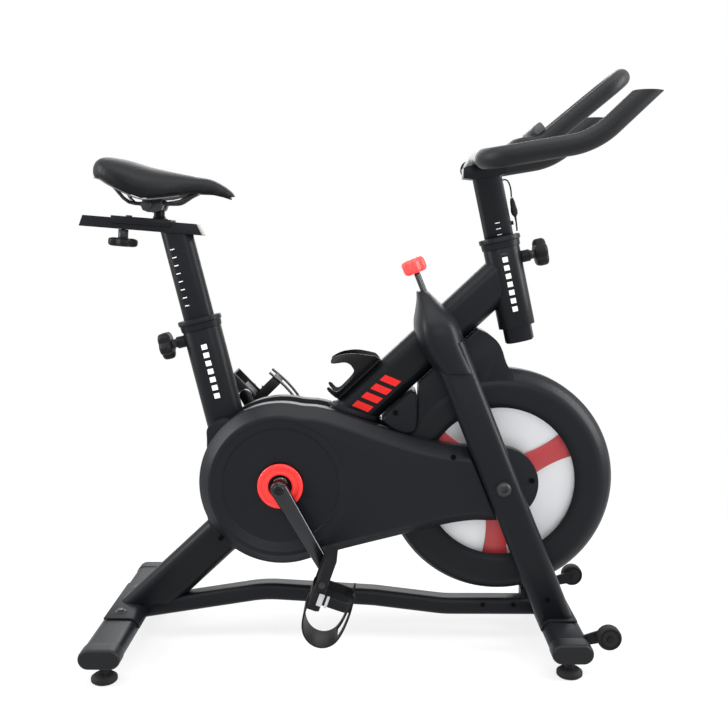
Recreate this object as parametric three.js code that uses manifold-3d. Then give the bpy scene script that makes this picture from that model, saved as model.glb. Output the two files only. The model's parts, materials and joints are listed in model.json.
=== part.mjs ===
// Indoor spin bike: millimetres, +X forward, +Y to the rider's left, +Z up.
// The origin lies on the floor below the middle of the bike's outer box.
// Each sub-part is a solid of its own; tubes, housings and wheels come from profiles,
// revolves and lofts, and what fits together takes its size from the same values.
import * as THREE from 'three';
import { mergeVertices } from 'three/addons/utils/BufferGeometryUtils.js';
import Module from 'manifold-3d';

// Clearances between pieces
const touchGap = 0.3; // between pieces that rest on each other or are screwed together
const slideGap = 0.6; // between pieces that slide or turn in one another
const runGap = 3; // beside wheels, cranks and belts that run free
const overrun = 4; // how far a cutting tool passes beyond what it cuts

// Stance: the wheel in its guard clears the bottom rail, and both axles lie at its height
const rad = (degrees) => degrees * Math.PI / 180;
const wheelRadius = 205;
const guardRimGap = 13; // from the wheel's rim to the outside of its guard
const guardRadius = wheelRadius + guardRimGap;
const railTall = 34;
const railFrontZ = 69; // centre height of the bottom rail under the wheel
const guardOverRail = 20;
const axleHeight = railFrontZ + railTall / 2 + guardOverRail + guardRadius;
const guardTopZ = axleHeight + guardRadius;
const wheelAxleX = 260;
const seatTilt = 13.5; // degrees that the seat tube leans back
const headTilt = 12.4;
const beamSlope = 43.1;
const legTilt = 22;

// Main beam, which rises from the crank axle clear of the wheel's guard, and bottom rail
const beamTall = 79;
const beamWide = 50;
const guardUnderBeam = 28.1;
const axleSpan = (guardRadius + beamTall / 2 + guardUnderBeam) / Math.sin(rad(beamSlope));
const crankAxleX = wheelAxleX - axleSpan;
const railWide = 44;
const railRearZ = 62; // centre height of the bottom rail at the rear floor beam
const railCrownZ = 99;
const railCrownBehind = 37; // from the crank axle back to the rail's highest point
const railCrownX = crankAxleX - railCrownBehind;
const railFallAhead = 178; // from the crank axle forward to where the rail turns down
const railFallX = crankAxleX + railFallAhead;
const railFallZ = 86;
const railLevelBehind = 103; // from the wheel's axle back to where the rail runs level
const railLevelX = wheelAxleX - railLevelBehind;

// Seat tube and seat post
const seatBehindCrank = 157; // from the crank axle back to the middle of the seat tube's mouth
const seatTopX = crankAxleX - seatBehindCrank;
const seatOverGuard = 90; // from the top of the wheel's guard up to the seat tube's mouth
const seatTopZ = guardTopZ + seatOverGuard;
const seatTubeDeep = 74.5; // front to back
const seatTubeWide = 50;
const tubeWall = 3.2;
const seatPostDeep = 59;
const seatPostWide = 38;
const seatPostLength = 355;

// Head tube and handlebar post
const headBehindWheel = 5; // from the wheel's axle back to the middle of the head tube's mouth
const headTopX = wheelAxleX - headBehindWheel;
const headOverGuard = 243;
const headTopZ = guardTopZ + headOverGuard;
const headTubeDeep = 69;
const headTubeWide = 50;
const headTubeLength = 168;
const barPostDeep = 55.4;
const barPostWide = 37;
const barPostTail = 28; // bare end of the post below the head tube
const barPostOut = 108; // from the head tube's mouth up to the post's top
const barPostTopZ = headTopZ + barPostOut;

// Plastic sleeves in both tube mouths
const sleeveLip = 4.8; // how far a sleeve's lip stands out round the tube
const sleeveCapTall = 22;
const sleeveDepth = 26;

// Fork legs and the crown cover over the beam
const legDeep = 65;
const legWide = 36;
const legInner = 52; // from the mid-plane to a leg's inner face
const legOverGuard = 63;
const legTopZ = guardTopZ + legOverGuard;
const crownOverGuard = 145;
const crownTopZ = guardTopZ + crownOverGuard;
const crownBelowGuard = 2; // from the guard's top down to the crown cover's lower edge
const crownFootZ = guardTopZ - crownBelowGuard;
const crownWall = 4.5;

// Floor beams, saddle plates and feet
const floorBeamDeep = 75;
const floorBeamTall = 37;
const rearBeamHalf = 240; // half length of the rear floor beam
const frontBeamHalf = 207;
const rearBeamZ = 54.5; // centre height
const frontBeamZ = 52;
const endCapLength = 34;
const endCapStep = 1.6;
const plateThick = 3.2;
const beamLanding = 39.8; // from the main beam's foot back to the middle of the rear floor beam
const rearPlateTop = rearBeamZ + floorBeamTall / 2 - endCapStep + touchGap + plateThick;
const rearBeamX = crankAxleX - (axleHeight - rearPlateTop) / Math.tan(rad(beamSlope)) - beamLanding;
const legLanding = 3.1; // from the legs' centre line forward to the middle of the front floor beam
const frontBeamX = wheelAxleX + (axleHeight - frontBeamZ) * Math.tan(rad(legTilt)) + legLanding;
const rearPlateHalf = 96;
const frontPlateHalf = 98;
const footRadius = 23.5;
const footTall = 20;
const footStudRadius = 5;
const rearFootInset = 37; // from the floor beam's end to the middle of a foot
const rearFootY = rearBeamHalf - rearFootInset;
const frontFootInset = 33;
const frontFootY = frontBeamHalf - frontFootInset;
const rollerRadius = 22;
const rollerWide = 20;
const rollerReach = 71; // from the front floor beam forward to the rollers
const rollerX = frontBeamX + rollerReach;
const rollerZ = 70;
const rollerInset = 39;
const rollerY = frontBeamHalf - rollerInset;
const rollerArmThick = 5;
const rollerArmTall = 22;
const rollerPinRadius = 5;

// Counts of sides on round work
const fineSides = 24;
const midSides = 12;
const smallSides = 10;
const capSteps = 4; // steps round half an oval tube

// Unit directions and angles
const alongX = new THREE.Vector3(1, 0, 0);
const alongY = new THREE.Vector3(0, 1, 0);
const alongZ = new THREE.Vector3(0, 0, 1);
const fullTurn = Math.PI * 2;
const quarterTurn = Math.PI / 2;
const at = (x, y, z) => new THREE.Vector3(x, y, z);
// A bore's corner radius, so that the middles of its flats still clear a round pin
const boreOf = (radius, sides) => radius / Math.cos(Math.PI / sides);

const wasm = await Module();
wasm.setup();

// Turns a closed geometry into a solid that can be joined and cut.
function solidOf(geometry) {
  const bare = geometry.clone();
  for (const name of Object.keys(bare.attributes)) {
    if (name !== 'position') bare.deleteAttribute(name);
  }
  const merged = mergeVertices(bare);
  const places = merged.attributes.position.array;
  const corners = merged.index.array;
  const kept = [];
  let volume = 0;
  const [a, b, c] = [at(0, 0, 0), at(0, 0, 0), at(0, 0, 0)];
  for (let i = 0; i < corners.length; i += 3) {
    const [p, q, r] = [corners[i], corners[i + 1], corners[i + 2]];
    if (p === q || q === r || r === p) continue;
    kept.push(p, q, r);
    a.fromArray(places, 3 * p);
    b.fromArray(places, 3 * q);
    c.fromArray(places, 3 * r);
    volume += a.dot(b.cross(c));
  }
  const facing = volume < 0 ? kept.reverse() : kept;
  const mesh = new wasm.Mesh({
    numProp: 3,
    vertProperties: new Float32Array(places),
    triVerts: new Uint32Array(facing),
  });
  return new wasm.Manifold(mesh);
}

// Gives a solid back as a geometry.
function geometryOf(solid) {
  const mesh = solid.getMesh();
  const geometry = new THREE.BufferGeometry();
  const places = new Float32Array(mesh.numVert * 3);
  for (let i = 0; i < mesh.numVert; i += 1) {
    for (let axis = 0; axis < 3; axis += 1) {
      places[3 * i + axis] = mesh.vertProperties[mesh.numProp * i + axis];
    }
  }
  geometry.setAttribute('position', new THREE.BufferAttribute(places, 3));
  geometry.setIndex(new THREE.BufferAttribute(new Uint32Array(mesh.triVerts), 1));
  geometry.computeVertexNormals();
  return geometry;
}

const join = (...solids) => solids.reduce((whole, next) => whole.add(next));
const cut = (whole, ...tools) => tools.reduce((left, tool) => left.subtract(tool), whole);

// Closed sections, as pairs of distances along two directions
function ovalSection(length, width, steps = capSteps) {
  const radius = Math.min(length, width) / 2;
  const shift = Math.abs(length - width) / 2;
  const points = [];
  for (const end of [1, -1]) {
    for (let i = 0; i <= steps; i += 1) {
      const angle = quarterTurn * (end > 0 ? -1 : 1) + Math.PI * i / steps;
      const [a, b] = [end * shift + radius * Math.cos(angle), radius * Math.sin(angle)];
      points.push(length >= width ? [a, b] : [-b, a]);
    }
  }
  return points;
}
function roundSection(radius, sides) {
  return Array.from({ length: sides }, (_, i) => {
    const angle = fullTurn * i / sides;
    return [radius * Math.cos(angle), radius * Math.sin(angle)];
  });
}
function boxSection(length, width, corner, steps = 2) {
  const points = [];
  const signs = [[1, 1], [-1, 1], [-1, -1], [1, -1]];
  signs.forEach(([signA, signB], index) => {
    for (let i = 0; i <= steps; i += 1) {
      const angle = quarterTurn * (index + i / steps);
      points.push([signA * (length / 2 - corner) + corner * Math.cos(angle),
        signB * (width / 2 - corner) + corner * Math.sin(angle)]);
    }
  });
  return points;
}

// A skin through rings of equally many points, closed by a flat fan at both ends.
function loft(rings) {
  const count = rings[0].length;
  const places = [];
  const corners = [];
  rings.forEach((ring) => ring.forEach((point) => places.push(point.x, point.y, point.z)));
  for (let r = 0; r + 1 < rings.length; r += 1) {
    for (let i = 0; i < count; i += 1) {
      const next = (i + 1) % count;
      const [p, q] = [r * count + i, r * count + next];
      corners.push(p, q, p + count, q, q + count, p + count);
    }
  }
  [[0, true], [rings.length - 1, false]].forEach(([index, first]) => {
    const middle = places.length / 3;
    const centre = at(0, 0, 0);
    rings[index].forEach((point) => centre.addScaledVector(point, 1 / count));
    places.push(centre.x, centre.y, centre.z);
    for (let i = 0; i < count; i += 1) {
      const [p, q] = [index * count + i, index * count + (i + 1) % count];
      corners.push(middle, first ? q : p, first ? p : q);
    }
  });
  const geometry = new THREE.BufferGeometry();
  geometry.setAttribute('position', new THREE.BufferAttribute(new Float32Array(places), 3));
  geometry.setIndex(corners);
  return solidOf(geometry);
}
function ringAt(centre, first, second, section) {
  return section.map(([a, b]) => centre.clone().addScaledVector(first, a).addScaledVector(second, b));
}

// A straight bar of a given section; side is the direction of the section's first measure.
function bar(from, to, section, side) {
  const way = to.clone().sub(from).normalize();
  const first = side.clone().addScaledVector(way, -side.dot(way)).normalize();
  const second = way.clone().cross(first);
  return loft([from, to].map((centre) => ringAt(centre, first, second, section)));
}
const rod = (from, to, radius, sides = smallSides) => bar(from, to, roundSection(radius, sides),
  Math.abs(to.x - from.x) > Math.abs(to.z - from.z) ? alongZ : alongX);
const crossRod = (x, z, y0, y1, radius, sides = smallSides) => (
  bar(at(x, y0, z), at(x, y1, z), roundSection(radius, sides), alongX));

// A side view outline of [x, z] corners, made solid from y0 to y1
function slab(outline, y0, y1) {
  const shape = new THREE.Shape(outline.map(([x, z]) => new THREE.Vector2(x, z)));
  const geometry = new THREE.ExtrudeGeometry(shape, { depth: Math.abs(y1 - y0), bevelEnabled: false });
  geometry.rotateX(quarterTurn);
  geometry.translate(0, Math.max(y0, y1), 0);
  return solidOf(geometry);
}
function block(x0, x1, y0, y1, z0, z1) {
  return slab([[x0, z0], [x1, z0], [x1, z1], [x0, z1]], y0, y1);
}

// A revolved profile of [radius, distance] corners about an axis from a centre
function revolve(profile, centre, axis, sides = fineSides) {
  const outline = profile.map(([radius, distance]) => new THREE.Vector2(radius, distance));
  const geometry = new THREE.LatheGeometry(outline, sides);
  geometry.applyQuaternion(new THREE.Quaternion().setFromUnitVectors(alongY, axis));
  geometry.translate(centre.x, centre.y, centre.z);
  return solidOf(geometry);
}

// Places along straight runs and round bends, close together only in the bends
const bendStep = rad(31); // turn from one place to the next
function bentRun(corners, bends) {
  const places = [corners[0]];
  bends.forEach((bend, index) => {
    const corner = corners[index + 1];
    const into = corner.clone().sub(corners[index]).normalize();
    const out = corners[index + 2].clone().sub(corner).normalize();
    const turn = into.angleTo(out);
    const start = corner.clone().addScaledVector(into, -bend * Math.tan(turn / 2));
    const inward = out.clone().addScaledVector(into, -Math.cos(turn)).normalize();
    const steps = Math.ceil(turn / bendStep);
    for (let i = 0; i <= steps; i += 1) {
      const angle = turn * i / steps;
      places.push(start.clone().addScaledVector(into, bend * Math.sin(angle))
        .addScaledVector(inward, bend * (1 - Math.cos(angle))));
    }
  });
  places.push(corners[corners.length - 1]);
  return places;
}
// A bar of one section along such places; the section keeps its side without twisting
function sweep(places, section, side) {
  let first = side.clone();
  const rings = places.map((place, i) => {
    const before = places[Math.max(i - 1, 0)];
    const after = places[Math.min(i + 1, places.length - 1)];
    const into = place.clone().sub(before).normalize();
    const out = after.clone().sub(place).normalize();
    const way = into.add(out).normalize();
    first = first.clone().addScaledVector(way, -first.dot(way)).normalize();
    return ringAt(place, first, way.clone().cross(first), section);
  });
  return loft(rings);
}

// Colours and finishes
const finish = (color, roughness, metalness) => (
  new THREE.MeshStandardMaterial({ color, roughness, metalness }));
const satinBlack = finish('#23262b', 0.42, 0.5);
const coverBlack = finish('#1f2329', 0.5, 0);
const softBlack = finish('#16181b', 0.85, 0);
const redPlastic = finish('#ff2d28', 0.4, 0);
const castGrey = finish('#d2d4d6', 0.45, 0.3);
const spokeRed = finish('#c0303c', 0.5, 0.1);
const steel = finish('#b9bcc0', 0.25, 0.95);
const rubber = finish('#1a1a1b', 0.8, 0);
const saddleBlack = finish('#1c1d20', 0.6, 0);

const bike = new THREE.Group();
const boxShift = 18; // brings the middle of the outer box over the origin
function add(name, solid, material) {
  const geometry = geometryOf(solid);
  geometry.translate(boxShift, 0, 0);
  const mesh = new THREE.Mesh(geometry, material);
  mesh.name = name;
  bike.add(mesh);
}

// Directions and crossing points that the frame's pieces share
const slopeWay = (degrees) => at(Math.cos(rad(degrees)), 0, Math.sin(rad(degrees)));
const leanWay = (degrees) => at(-Math.sin(rad(degrees)), 0, Math.cos(rad(degrees)));
const squareTo = (way) => at(way.z, 0, -way.x); // in the side view, a quarter turn forward
const beamWay = slopeWay(beamSlope);
const seatWay = leanWay(seatTilt);
const headWay = leanWay(headTilt);
const legWay = leanWay(legTilt);
const crankAxle = at(crankAxleX, 0, axleHeight);
const wheelAxle = at(wheelAxleX, 0, axleHeight);
const seatMouth = at(seatTopX, 0, seatTopZ);
const headMouth = at(headTopX, 0, headTopZ);
const from = (start, way, distance) => start.clone().addScaledVector(way, distance);
// Where two lines in the side view cross
function crossing(startA, wayA, startB, wayB) {
  const gap = startB.clone().sub(startA);
  const distance = (gap.x * wayB.z - gap.z * wayB.x) / (wayA.x * wayB.z - wayA.z * wayB.x);
  return from(startA, wayA, distance);
}
const beamFront = crossing(crankAxle, beamWay, headMouth, headWay);
const seatFoot = crossing(crankAxle, beamWay, seatMouth, seatWay);
const shifted = (point, y) => at(point.x, y, point.z);

// A bar that follows corners in the side view at one distance from the mid-plane
function foldedBar(corners, section) {
  const rings = corners.map((corner, i) => {
    const before = corner.clone().sub(corners[Math.max(i - 1, 0)]).normalize();
    const after = corners[Math.min(i + 1, corners.length - 1)].clone().sub(corner).normalize();
    const way = before.clone().add(after).normalize();
    const stretch = 1 / Math.max(way.dot(before.lengthSq() > 0 ? before : after), Number.EPSILON);
    return ringAt(corner, squareTo(way).multiplyScalar(stretch), alongY, section);
  });
  return loft(rings);
}
function mirrored(solid) {
  const geometry = geometryOf(solid);
  geometry.scale(1, -1, 1);
  return solidOf(geometry);
}

// Main beam: one flat-oval tube from the rear saddle plate to the head tube
const beamSection = (grow) => ovalSection(beamTall + 2 * grow, beamWide + 2 * grow);
const beamRearX = rearBeamX - floorBeamDeep;
const beamRear = crossing(crankAxle, beamWay, at(beamRearX, 0, 0), alongZ);
const beamForm = (grow) => bar(beamRear, beamFront, beamSection(grow), squareTo(beamWay));
const longBeamForm = (grow) => bar(beamRear, from(beamFront, beamWay, beamTall), beamSection(grow),
  squareTo(beamWay));

// Floor beams: flat-oval tubes with stepped plastic ends
function floorBeam(x, z, half) {
  const body = bar(at(x, -half + endCapLength, z), at(x, half - endCapLength, z),
    ovalSection(floorBeamDeep - 2 * endCapStep, floorBeamTall - 2 * endCapStep), alongX);
  const ends = [-1, 1].map((side) => {
    const full = ovalSection(floorBeamDeep, floorBeamTall);
    const closed = ovalSection(floorBeamDeep - 4 * endCapStep, floorBeamTall - 4 * endCapStep);
    const places = [half - endCapLength - endCapStep, half - 2 * endCapStep, half];
    const rings = [full, full, closed].map((section, i) => (
      ringAt(at(x, side * places[i], z), alongX, alongZ, section)));
    return loft(rings);
  });
  return join(body, ...ends);
}
const floorTubeDeep = floorBeamDeep - 2 * endCapStep; // between the end caps
const floorTubeTall = floorBeamTall - 2 * endCapStep;
const floorForm = (x, z, half, grow) => bar(at(x, -half, z), at(x, half, z),
  ovalSection(floorTubeDeep + 2 * grow, floorTubeTall + 2 * grow), alongX);

// Saddle plates: bent sheet over the middle of each floor beam, open to the outside
function saddlePlate(x, z, half, inward) {
  const sheet = cut(floorForm(x, z, half, touchGap + plateThick),
    floorForm(x, z, half + overrun, touchGap));
  const reach = floorBeamDeep;
  const outerEdge = x - inward * (floorBeamDeep - floorBeamTall) * 0.75;
  const below = block(x - reach, x + reach, -half - overrun, half + overrun, 0, z);
  const outside = block(Math.min(outerEdge, outerEdge - inward * reach),
    Math.max(outerEdge, outerEdge - inward * reach), -half - overrun, half + overrun, 0, z + reach);
  return cut(sheet, below, outside);
}

// Bottom rail: one tube bent over the crank and level under the flywheel
const railSection = (grow) => boxSection(railTall + 2 * grow, railWide + 2 * grow, railTall / 4);
const railCorners = [
  at(rearBeamX, 0, railRearZ - railTall / 6), at(railCrownX, 0, railCrownZ),
  at(railFallX, 0, railFallZ), at(railLevelX, 0, railFrontZ), at(frontBeamX, 0, railFrontZ),
];
const railForm = (grow) => foldedBar(railCorners, railSection(grow));
const plateCut = (x, z, half) => floorForm(x, z, half, 2 * touchGap + plateThick);

const footHoles = (x, y, z) => [-y, y].map((place) => rod(at(x, place, z - floorBeamTall),
  at(x, place, z), footStudRadius + slideGap));
add('rear_stabilizer', cut(floorBeam(rearBeamX, rearBeamZ, rearBeamHalf),
  ...footHoles(rearBeamX, rearFootY, rearBeamZ)), satinBlack);
add('rear_saddle_plate', saddlePlate(rearBeamX, rearBeamZ, rearPlateHalf, 1), satinBlack);
add('front_saddle_plate', saddlePlate(frontBeamX, frontBeamZ, frontPlateHalf, -1), satinBlack);

const guardBracketX = 313;
const guardBracketLong = 12;
const guardBracketTall = 18;
const guardBracketWide = 30;
const railTop = railFrontZ + railTall / 2;
const guardBracket = block(guardBracketX - guardBracketLong / 2, guardBracketX + guardBracketLong / 2,
  -guardBracketWide / 2, guardBracketWide / 2, railTop - touchGap, railTop + guardBracketTall);
add('bottom_rail', cut(join(railForm(0), guardBracket), plateCut(rearBeamX, rearBeamZ, rearPlateHalf),
  plateCut(frontBeamX, frontBeamZ, frontPlateHalf)), satinBlack);

// Brake line: the rod runs square to the wheel's rim, through the beam
const brakeRodRadius = 6;
const brakeHoleRadius = boreOf(brakeRodRadius + touchGap, smallSides);
const brakeRodShown = 37.5; // between the crown cover and the knob
const brakeKnobFoot = (crownTopZ - axleHeight) / Math.cos(rad(legTilt)) + brakeRodShown;
const brakeLineWay = leanWay(legTilt);
const brakeLine = (distance) => from(wheelAxle, brakeLineWay, distance);

// Bottom bracket bore through the beam
const bracketRadius = 21;
const bracketBore = crossRod(crankAxleX, axleHeight, -beamWide, beamWide,
  boreOf(bracketRadius + touchGap, midSides), midSides);

// Head tube: open at both ends, with a welded boss for the knob's pin in front
const pinRadius = 5;
const pinBossRadius = 11.5;
const pinBossLong = 15;
const seatPinDrop = 33; // from the tube's mouth down to the pin
const headPinDrop = 41;
const seatTubeSection = (grow) => ovalSection(seatTubeDeep + 2 * grow, seatTubeWide + 2 * grow);
const headTubeSection = (grow) => ovalSection(headTubeDeep + 2 * grow, headTubeWide + 2 * grow);
const headFoot = from(headMouth, headWay, -headTubeLength);
const headForm = (grow) => bar(from(headFoot, headWay, -beamTall), from(headMouth, headWay, beamTall),
  headTubeSection(grow), squareTo(headWay));
const headSleeveSpace = bar(from(headMouth, headWay, sleeveLip - sleeveCapTall - touchGap),
  from(headMouth, headWay, beamTall), headTubeSection(sleeveLip + touchGap), squareTo(headWay));
function openTube(foot, mouth, way, section, pin, outward, depth) {
  const outer = bar(foot, mouth, section(0), squareTo(way));
  const boss = rod(from(pin, outward, depth / 2 - tubeWall), from(pin, outward, depth / 2 + pinBossLong),
    pinBossRadius, midSides);
  const inner = bar(from(foot, way, -depth), from(mouth, way, depth), section(-tubeWall), squareTo(way));
  const hole = rod(pin, from(pin, outward, depth), pinRadius + slideGap, smallSides);
  return cut(join(outer, boss), inner, hole);
}
const headPin = from(headMouth, headWay, -headPinDrop);
const headOut = squareTo(headWay);
add('head_tube', openTube(headFoot, headMouth, headWay, headTubeSection, headPin, headOut, headTubeDeep),
  satinBlack);

// Seat tube: open at its mouth, cut to lie on the beam
const seatPin = from(seatMouth, seatWay, -seatPinDrop);
const seatOut = squareTo(seatWay).negate();
const seatTube = openTube(seatFoot, seatMouth, seatWay, seatTubeSection, seatPin, seatOut, seatTubeDeep);
add('seat_tube', cut(seatTube, longBeamForm(touchGap)), satinBlack);

// The beam is cut level on the plate, round the bottom rail and round the head tube
const underPlate = block(beamRearX - beamTall, crankAxleX, -beamWide, beamWide, -beamTall,
  rearPlateTop + touchGap);
const brakeHole = rod(brakeLine(0), brakeLine(brakeKnobFoot), brakeHoleRadius);
const beyondHead = slab([from(headFoot, headWay, -beamTall), from(headMouth, headWay, beamTall)].flatMap(
  ({ x, z }, i) => (i === 0 ? [[x + headTubeDeep, z], [x, z]] : [[x, z], [x + headTubeDeep, z]])),
-beamWide, beamWide);
add('main_beam', cut(beamForm(0), underPlate, railForm(touchGap), headForm(touchGap), headSleeveSpace,
  beyondHead, bracketBore, brakeHole), satinBlack);

// Plastic sleeves: a lip round the tube's mouth and a liner that guides the post
function sleeve(mouth, way, tubeSection, postDeep, postWide) {
  const lipTop = from(mouth, way, sleeveLip);
  const lip = bar(from(lipTop, way, -sleeveCapTall), lipTop, tubeSection(sleeveLip), squareTo(way));
  const tubeSpace = bar(from(lipTop, way, -2 * sleeveCapTall), from(mouth, way, touchGap),
    tubeSection(touchGap), squareTo(way));
  const liner = bar(from(mouth, way, -sleeveDepth), lipTop, tubeSection(-tubeWall - touchGap), squareTo(way));
  const postSpace = bar(from(mouth, way, -2 * sleeveDepth), from(mouth, way, 2 * sleeveDepth),
    ovalSection(postDeep + 2 * slideGap, postWide + 2 * slideGap), squareTo(way));
  return cut(join(cut(lip, tubeSpace), liner), postSpace);
}
add('seat_sleeve', sleeve(seatMouth, seatWay, seatTubeSection, seatPostDeep, seatPostWide), coverBlack);
add('head_sleeve', sleeve(headMouth, headWay, headTubeSection, barPostDeep, barPostWide), coverBlack);

// Fork legs: flat-oval tubes from the crown to the front plate, each with its stub to the beam
const legSection = (grow) => ovalSection(legDeep + 2 * grow, legWide + 2 * grow);
const legMiddle = legInner + legWide / 2;
const legTop = crossing(wheelAxle, legWay, at(0, 0, legTopZ - legDeep / 4), alongX);
const legFoot = crossing(wheelAxle, legWay, at(0, 0, frontBeamZ), alongX);
const legForm = (grow) => bar(shifted(legFoot, -legMiddle), shifted(from(legTop, legWay, grow), -legMiddle),
  legSection(grow), squareTo(legWay));
const stubTall = 38;
const axleRadius = 8.5;
const guardNeckHalf = 34; // half width of the wheel guard's neck, which passes between the stubs
const stubTop = from(legTop, legWay, -stubTall / 2);
const beamUnder = (x, gap) => axleHeight + (x - crankAxleX) * Math.tan(rad(beamSlope))
  - (beamTall / 2 + gap) / Math.cos(rad(beamSlope));
const neckWay = slab([[crankAxleX, 0], [crankAxleX, beamUnder(crankAxleX, 0)],
  [headTopX, beamUnder(headTopX, 0)], [headTopX, 0]], -guardNeckHalf - touchGap, guardNeckHalf);
const stub = bar(shifted(stubTop, -legMiddle), shifted(stubTop, -beamWide / 2 - touchGap),
  boxSection(stubTall, stubTall, stubTall / 8), alongX);
const axleBore = crossRod(wheelAxleX, axleHeight, -legMiddle - legWide, 0,
  boreOf(axleRadius + touchGap, midSides), midSides);
const rightLeg = cut(join(legForm(0), cut(stub, longBeamForm(touchGap), neckWay)),
  plateCut(frontBeamX, frontBeamZ, frontPlateHalf), axleBore);
add('fork_leg_right', rightLeg, satinBlack);
add('fork_leg_left', mirrored(rightLeg), satinBlack);

// Crown cover: two moulded halves over the beam and the tops of the legs, with the brake rod's neck.
// Each row: share of the height, rear and front edges as shares of the leg's depth, share of the half width
const crownShares = [
  [0, -0.62, 0.62, 1], [0.17, -0.74, 0.61, 1], [0.38, -0.79, 0.6, 1], [0.58, -0.67, 0.63, 0.95],
  [0.75, -0.47, 0.51, 0.76], [0.89, -0.31, 0.28, 0.5], [1, -0.22, 0.13, 0.25],
];
const crownHalf = legInner + legWide + slideGap + crownWall + touchGap;
const crownTall = crownTopZ - crownFootZ;
const crownSquareness = 3.2;
const crownSides = 16;
function crownForm(inset, below) {
  const rings = crownShares.map(([heightShare, rearShare, frontShare, halfShare], i) => {
    const drop = i === 0 ? below : 0;
    const z = crownFootZ + heightShare * crownTall - drop - (i + 1 === crownShares.length ? inset : 0);
    const centre = crossing(wheelAxle, legWay, at(0, 0, crownFootZ + heightShare * crownTall), alongX);
    const shift = drop * Math.tan(rad(legTilt));
    const [rear, front] = [rearShare * legDeep + inset, frontShare * legDeep - inset];
    const [middle, deep, half] = [(rear + front) / 2, (front - rear) / 2, halfShare * crownHalf - inset];
    return Array.from({ length: crownSides }, (_, side) => {
      const angle = fullTurn * side / crownSides;
      const bend = (value) => Math.sign(value) * Math.abs(value) ** (2 / crownSquareness);
      return at(centre.x + shift + middle + deep * bend(Math.cos(angle)), half * bend(Math.sin(angle)), z);
    });
  });
  return loft(rings);
}
const crownSlot = legInner - crownWall; // half width left free for the wheel guard under the beam
const crownReach = 2 * legDeep;
const underBeam = slab([
  [crankAxleX, axleHeight - beamTall], [crankAxleX, axleHeight],
  [beamFront.x, beamFront.z], [beamFront.x, axleHeight - beamTall]], -crownSlot, crownSlot);
const crownShell = cut(crownForm(0, 0), crownForm(crownWall, crownReach / 2), underBeam,
  longBeamForm(slideGap), legForm(slideGap), mirrored(legForm(slideGap)),
  rod(brakeLine(crownReach), brakeLine(brakeKnobFoot), brakeHoleRadius));
const farReach = frontBeamX - rearBeamX; // beyond every piece on its side
const halfSpace = (side, seam) => block(-2 * farReach, 2 * farReach, side * seam,
  side * farReach, 0, 4 * farReach);
const rightOf = (solid, seam = touchGap / 2) => solid.intersect(halfSpace(-1, seam));
add('fork_cover_right', rightOf(crownShell), coverBlack);
add('fork_cover_left', mirrored(rightOf(crownShell)), coverBlack);

// Wheel guard: a dished ring round the wheel, with a neck that rises between the legs to the beam
const rimHalf = 15;
const guardShoulder = 30; // from the guard's outside in to its flat face
const guardFaceRadius = guardRadius - guardShoulder;
const guardHalf = 37;
const guardWall = 3.2;
const guardBand = 75; // from the guard's outside in to the opening over the wheel's face
const guardMouth = guardRadius - guardBand;
const guardLipDeep = 7;
const guardLipLong = 13;
const guardSides = 24;
const neckFootAhead = 22; // from the wheel's axle forward to the neck's foot
const neckFootX = wheelAxleX + neckFootAhead;
const neckTopBehind = 46;
const neckTopX = wheelAxleX - neckTopBehind;
const neckRearBehind = 157;
const neckRearX = wheelAxleX - neckRearBehind;
function dish(inset, mouthInset) {
  const rim = guardRadius - inset;
  const face = guardHalf - inset;
  const flank = guardRadius - guardFaceRadius;
  return [
    [0, -overrun], [rim, -overrun], [rim, guardHalf * 0.3], [rim - flank * 0.27, guardHalf * 0.65],
    [rim - flank * 0.67, face - guardHalf * 0.1], [guardFaceRadius - inset / 2, face],
    [guardMouth + guardLipLong + mouthInset, face], [guardMouth + mouthInset, face - guardLipDeep],
    [0, face - guardLipDeep],
  ];
}
const nearWay = at(0, -1, 0);
// Each row: share of the way from the neck's foot to its top, and how far it swells forward as a share
const neckCurveShares = [[0, 0], [0.18, 0.02], [0.5, -0.14], [0.8, -0.1], [1, 0]];
function neckForm(inset, topGap) {
  const foot = at(neckFootX, 0, axleHeight + guardRadius * 0.972);
  const top = at(neckTopX, 0, beamUnder(neckTopX, topGap));
  const run = top.clone().sub(foot);
  const outline = neckCurveShares.map(([share, swellShare]) => (
    [foot.x + run.x * (share + swellShare) - inset, foot.z + run.z * (share - swellShare)]));
  outline[outline.length - 1] = [top.x - inset, beamUnder(top.x - inset, topGap)];
  outline.push([neckRearX + inset, beamUnder(neckRearX + inset, topGap)]);
  outline.push([neckRearX + inset, axleHeight + guardMouth * 0.5]);
  outline.push([neckFootX - inset, axleHeight + guardMouth * 0.5]);
  return slab(outline, overrun, -guardNeckHalf + inset);
}
const guardOuter = join(revolve(dish(0, 0), wheelAxle, nearWay, guardSides), neckForm(0, touchGap));
const guardInner = join(revolve(dish(guardWall, guardWall), wheelAxle, nearWay, guardSides),
  neckForm(guardWall, touchGap + guardWall));
const guardOpening = crossRod(wheelAxleX, axleHeight, -guardHalf - overrun, overrun,
  guardMouth + touchGap, guardSides);
const guardShell = rightOf(cut(guardOuter, guardInner, guardOpening,
  rod(brakeLine(wheelRadius), brakeLine(brakeKnobFoot), brakeHoleRadius)));
add('wheel_guard_right', guardShell, coverBlack);
add('wheel_guard_left', mirrored(guardShell), coverBlack);

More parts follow.
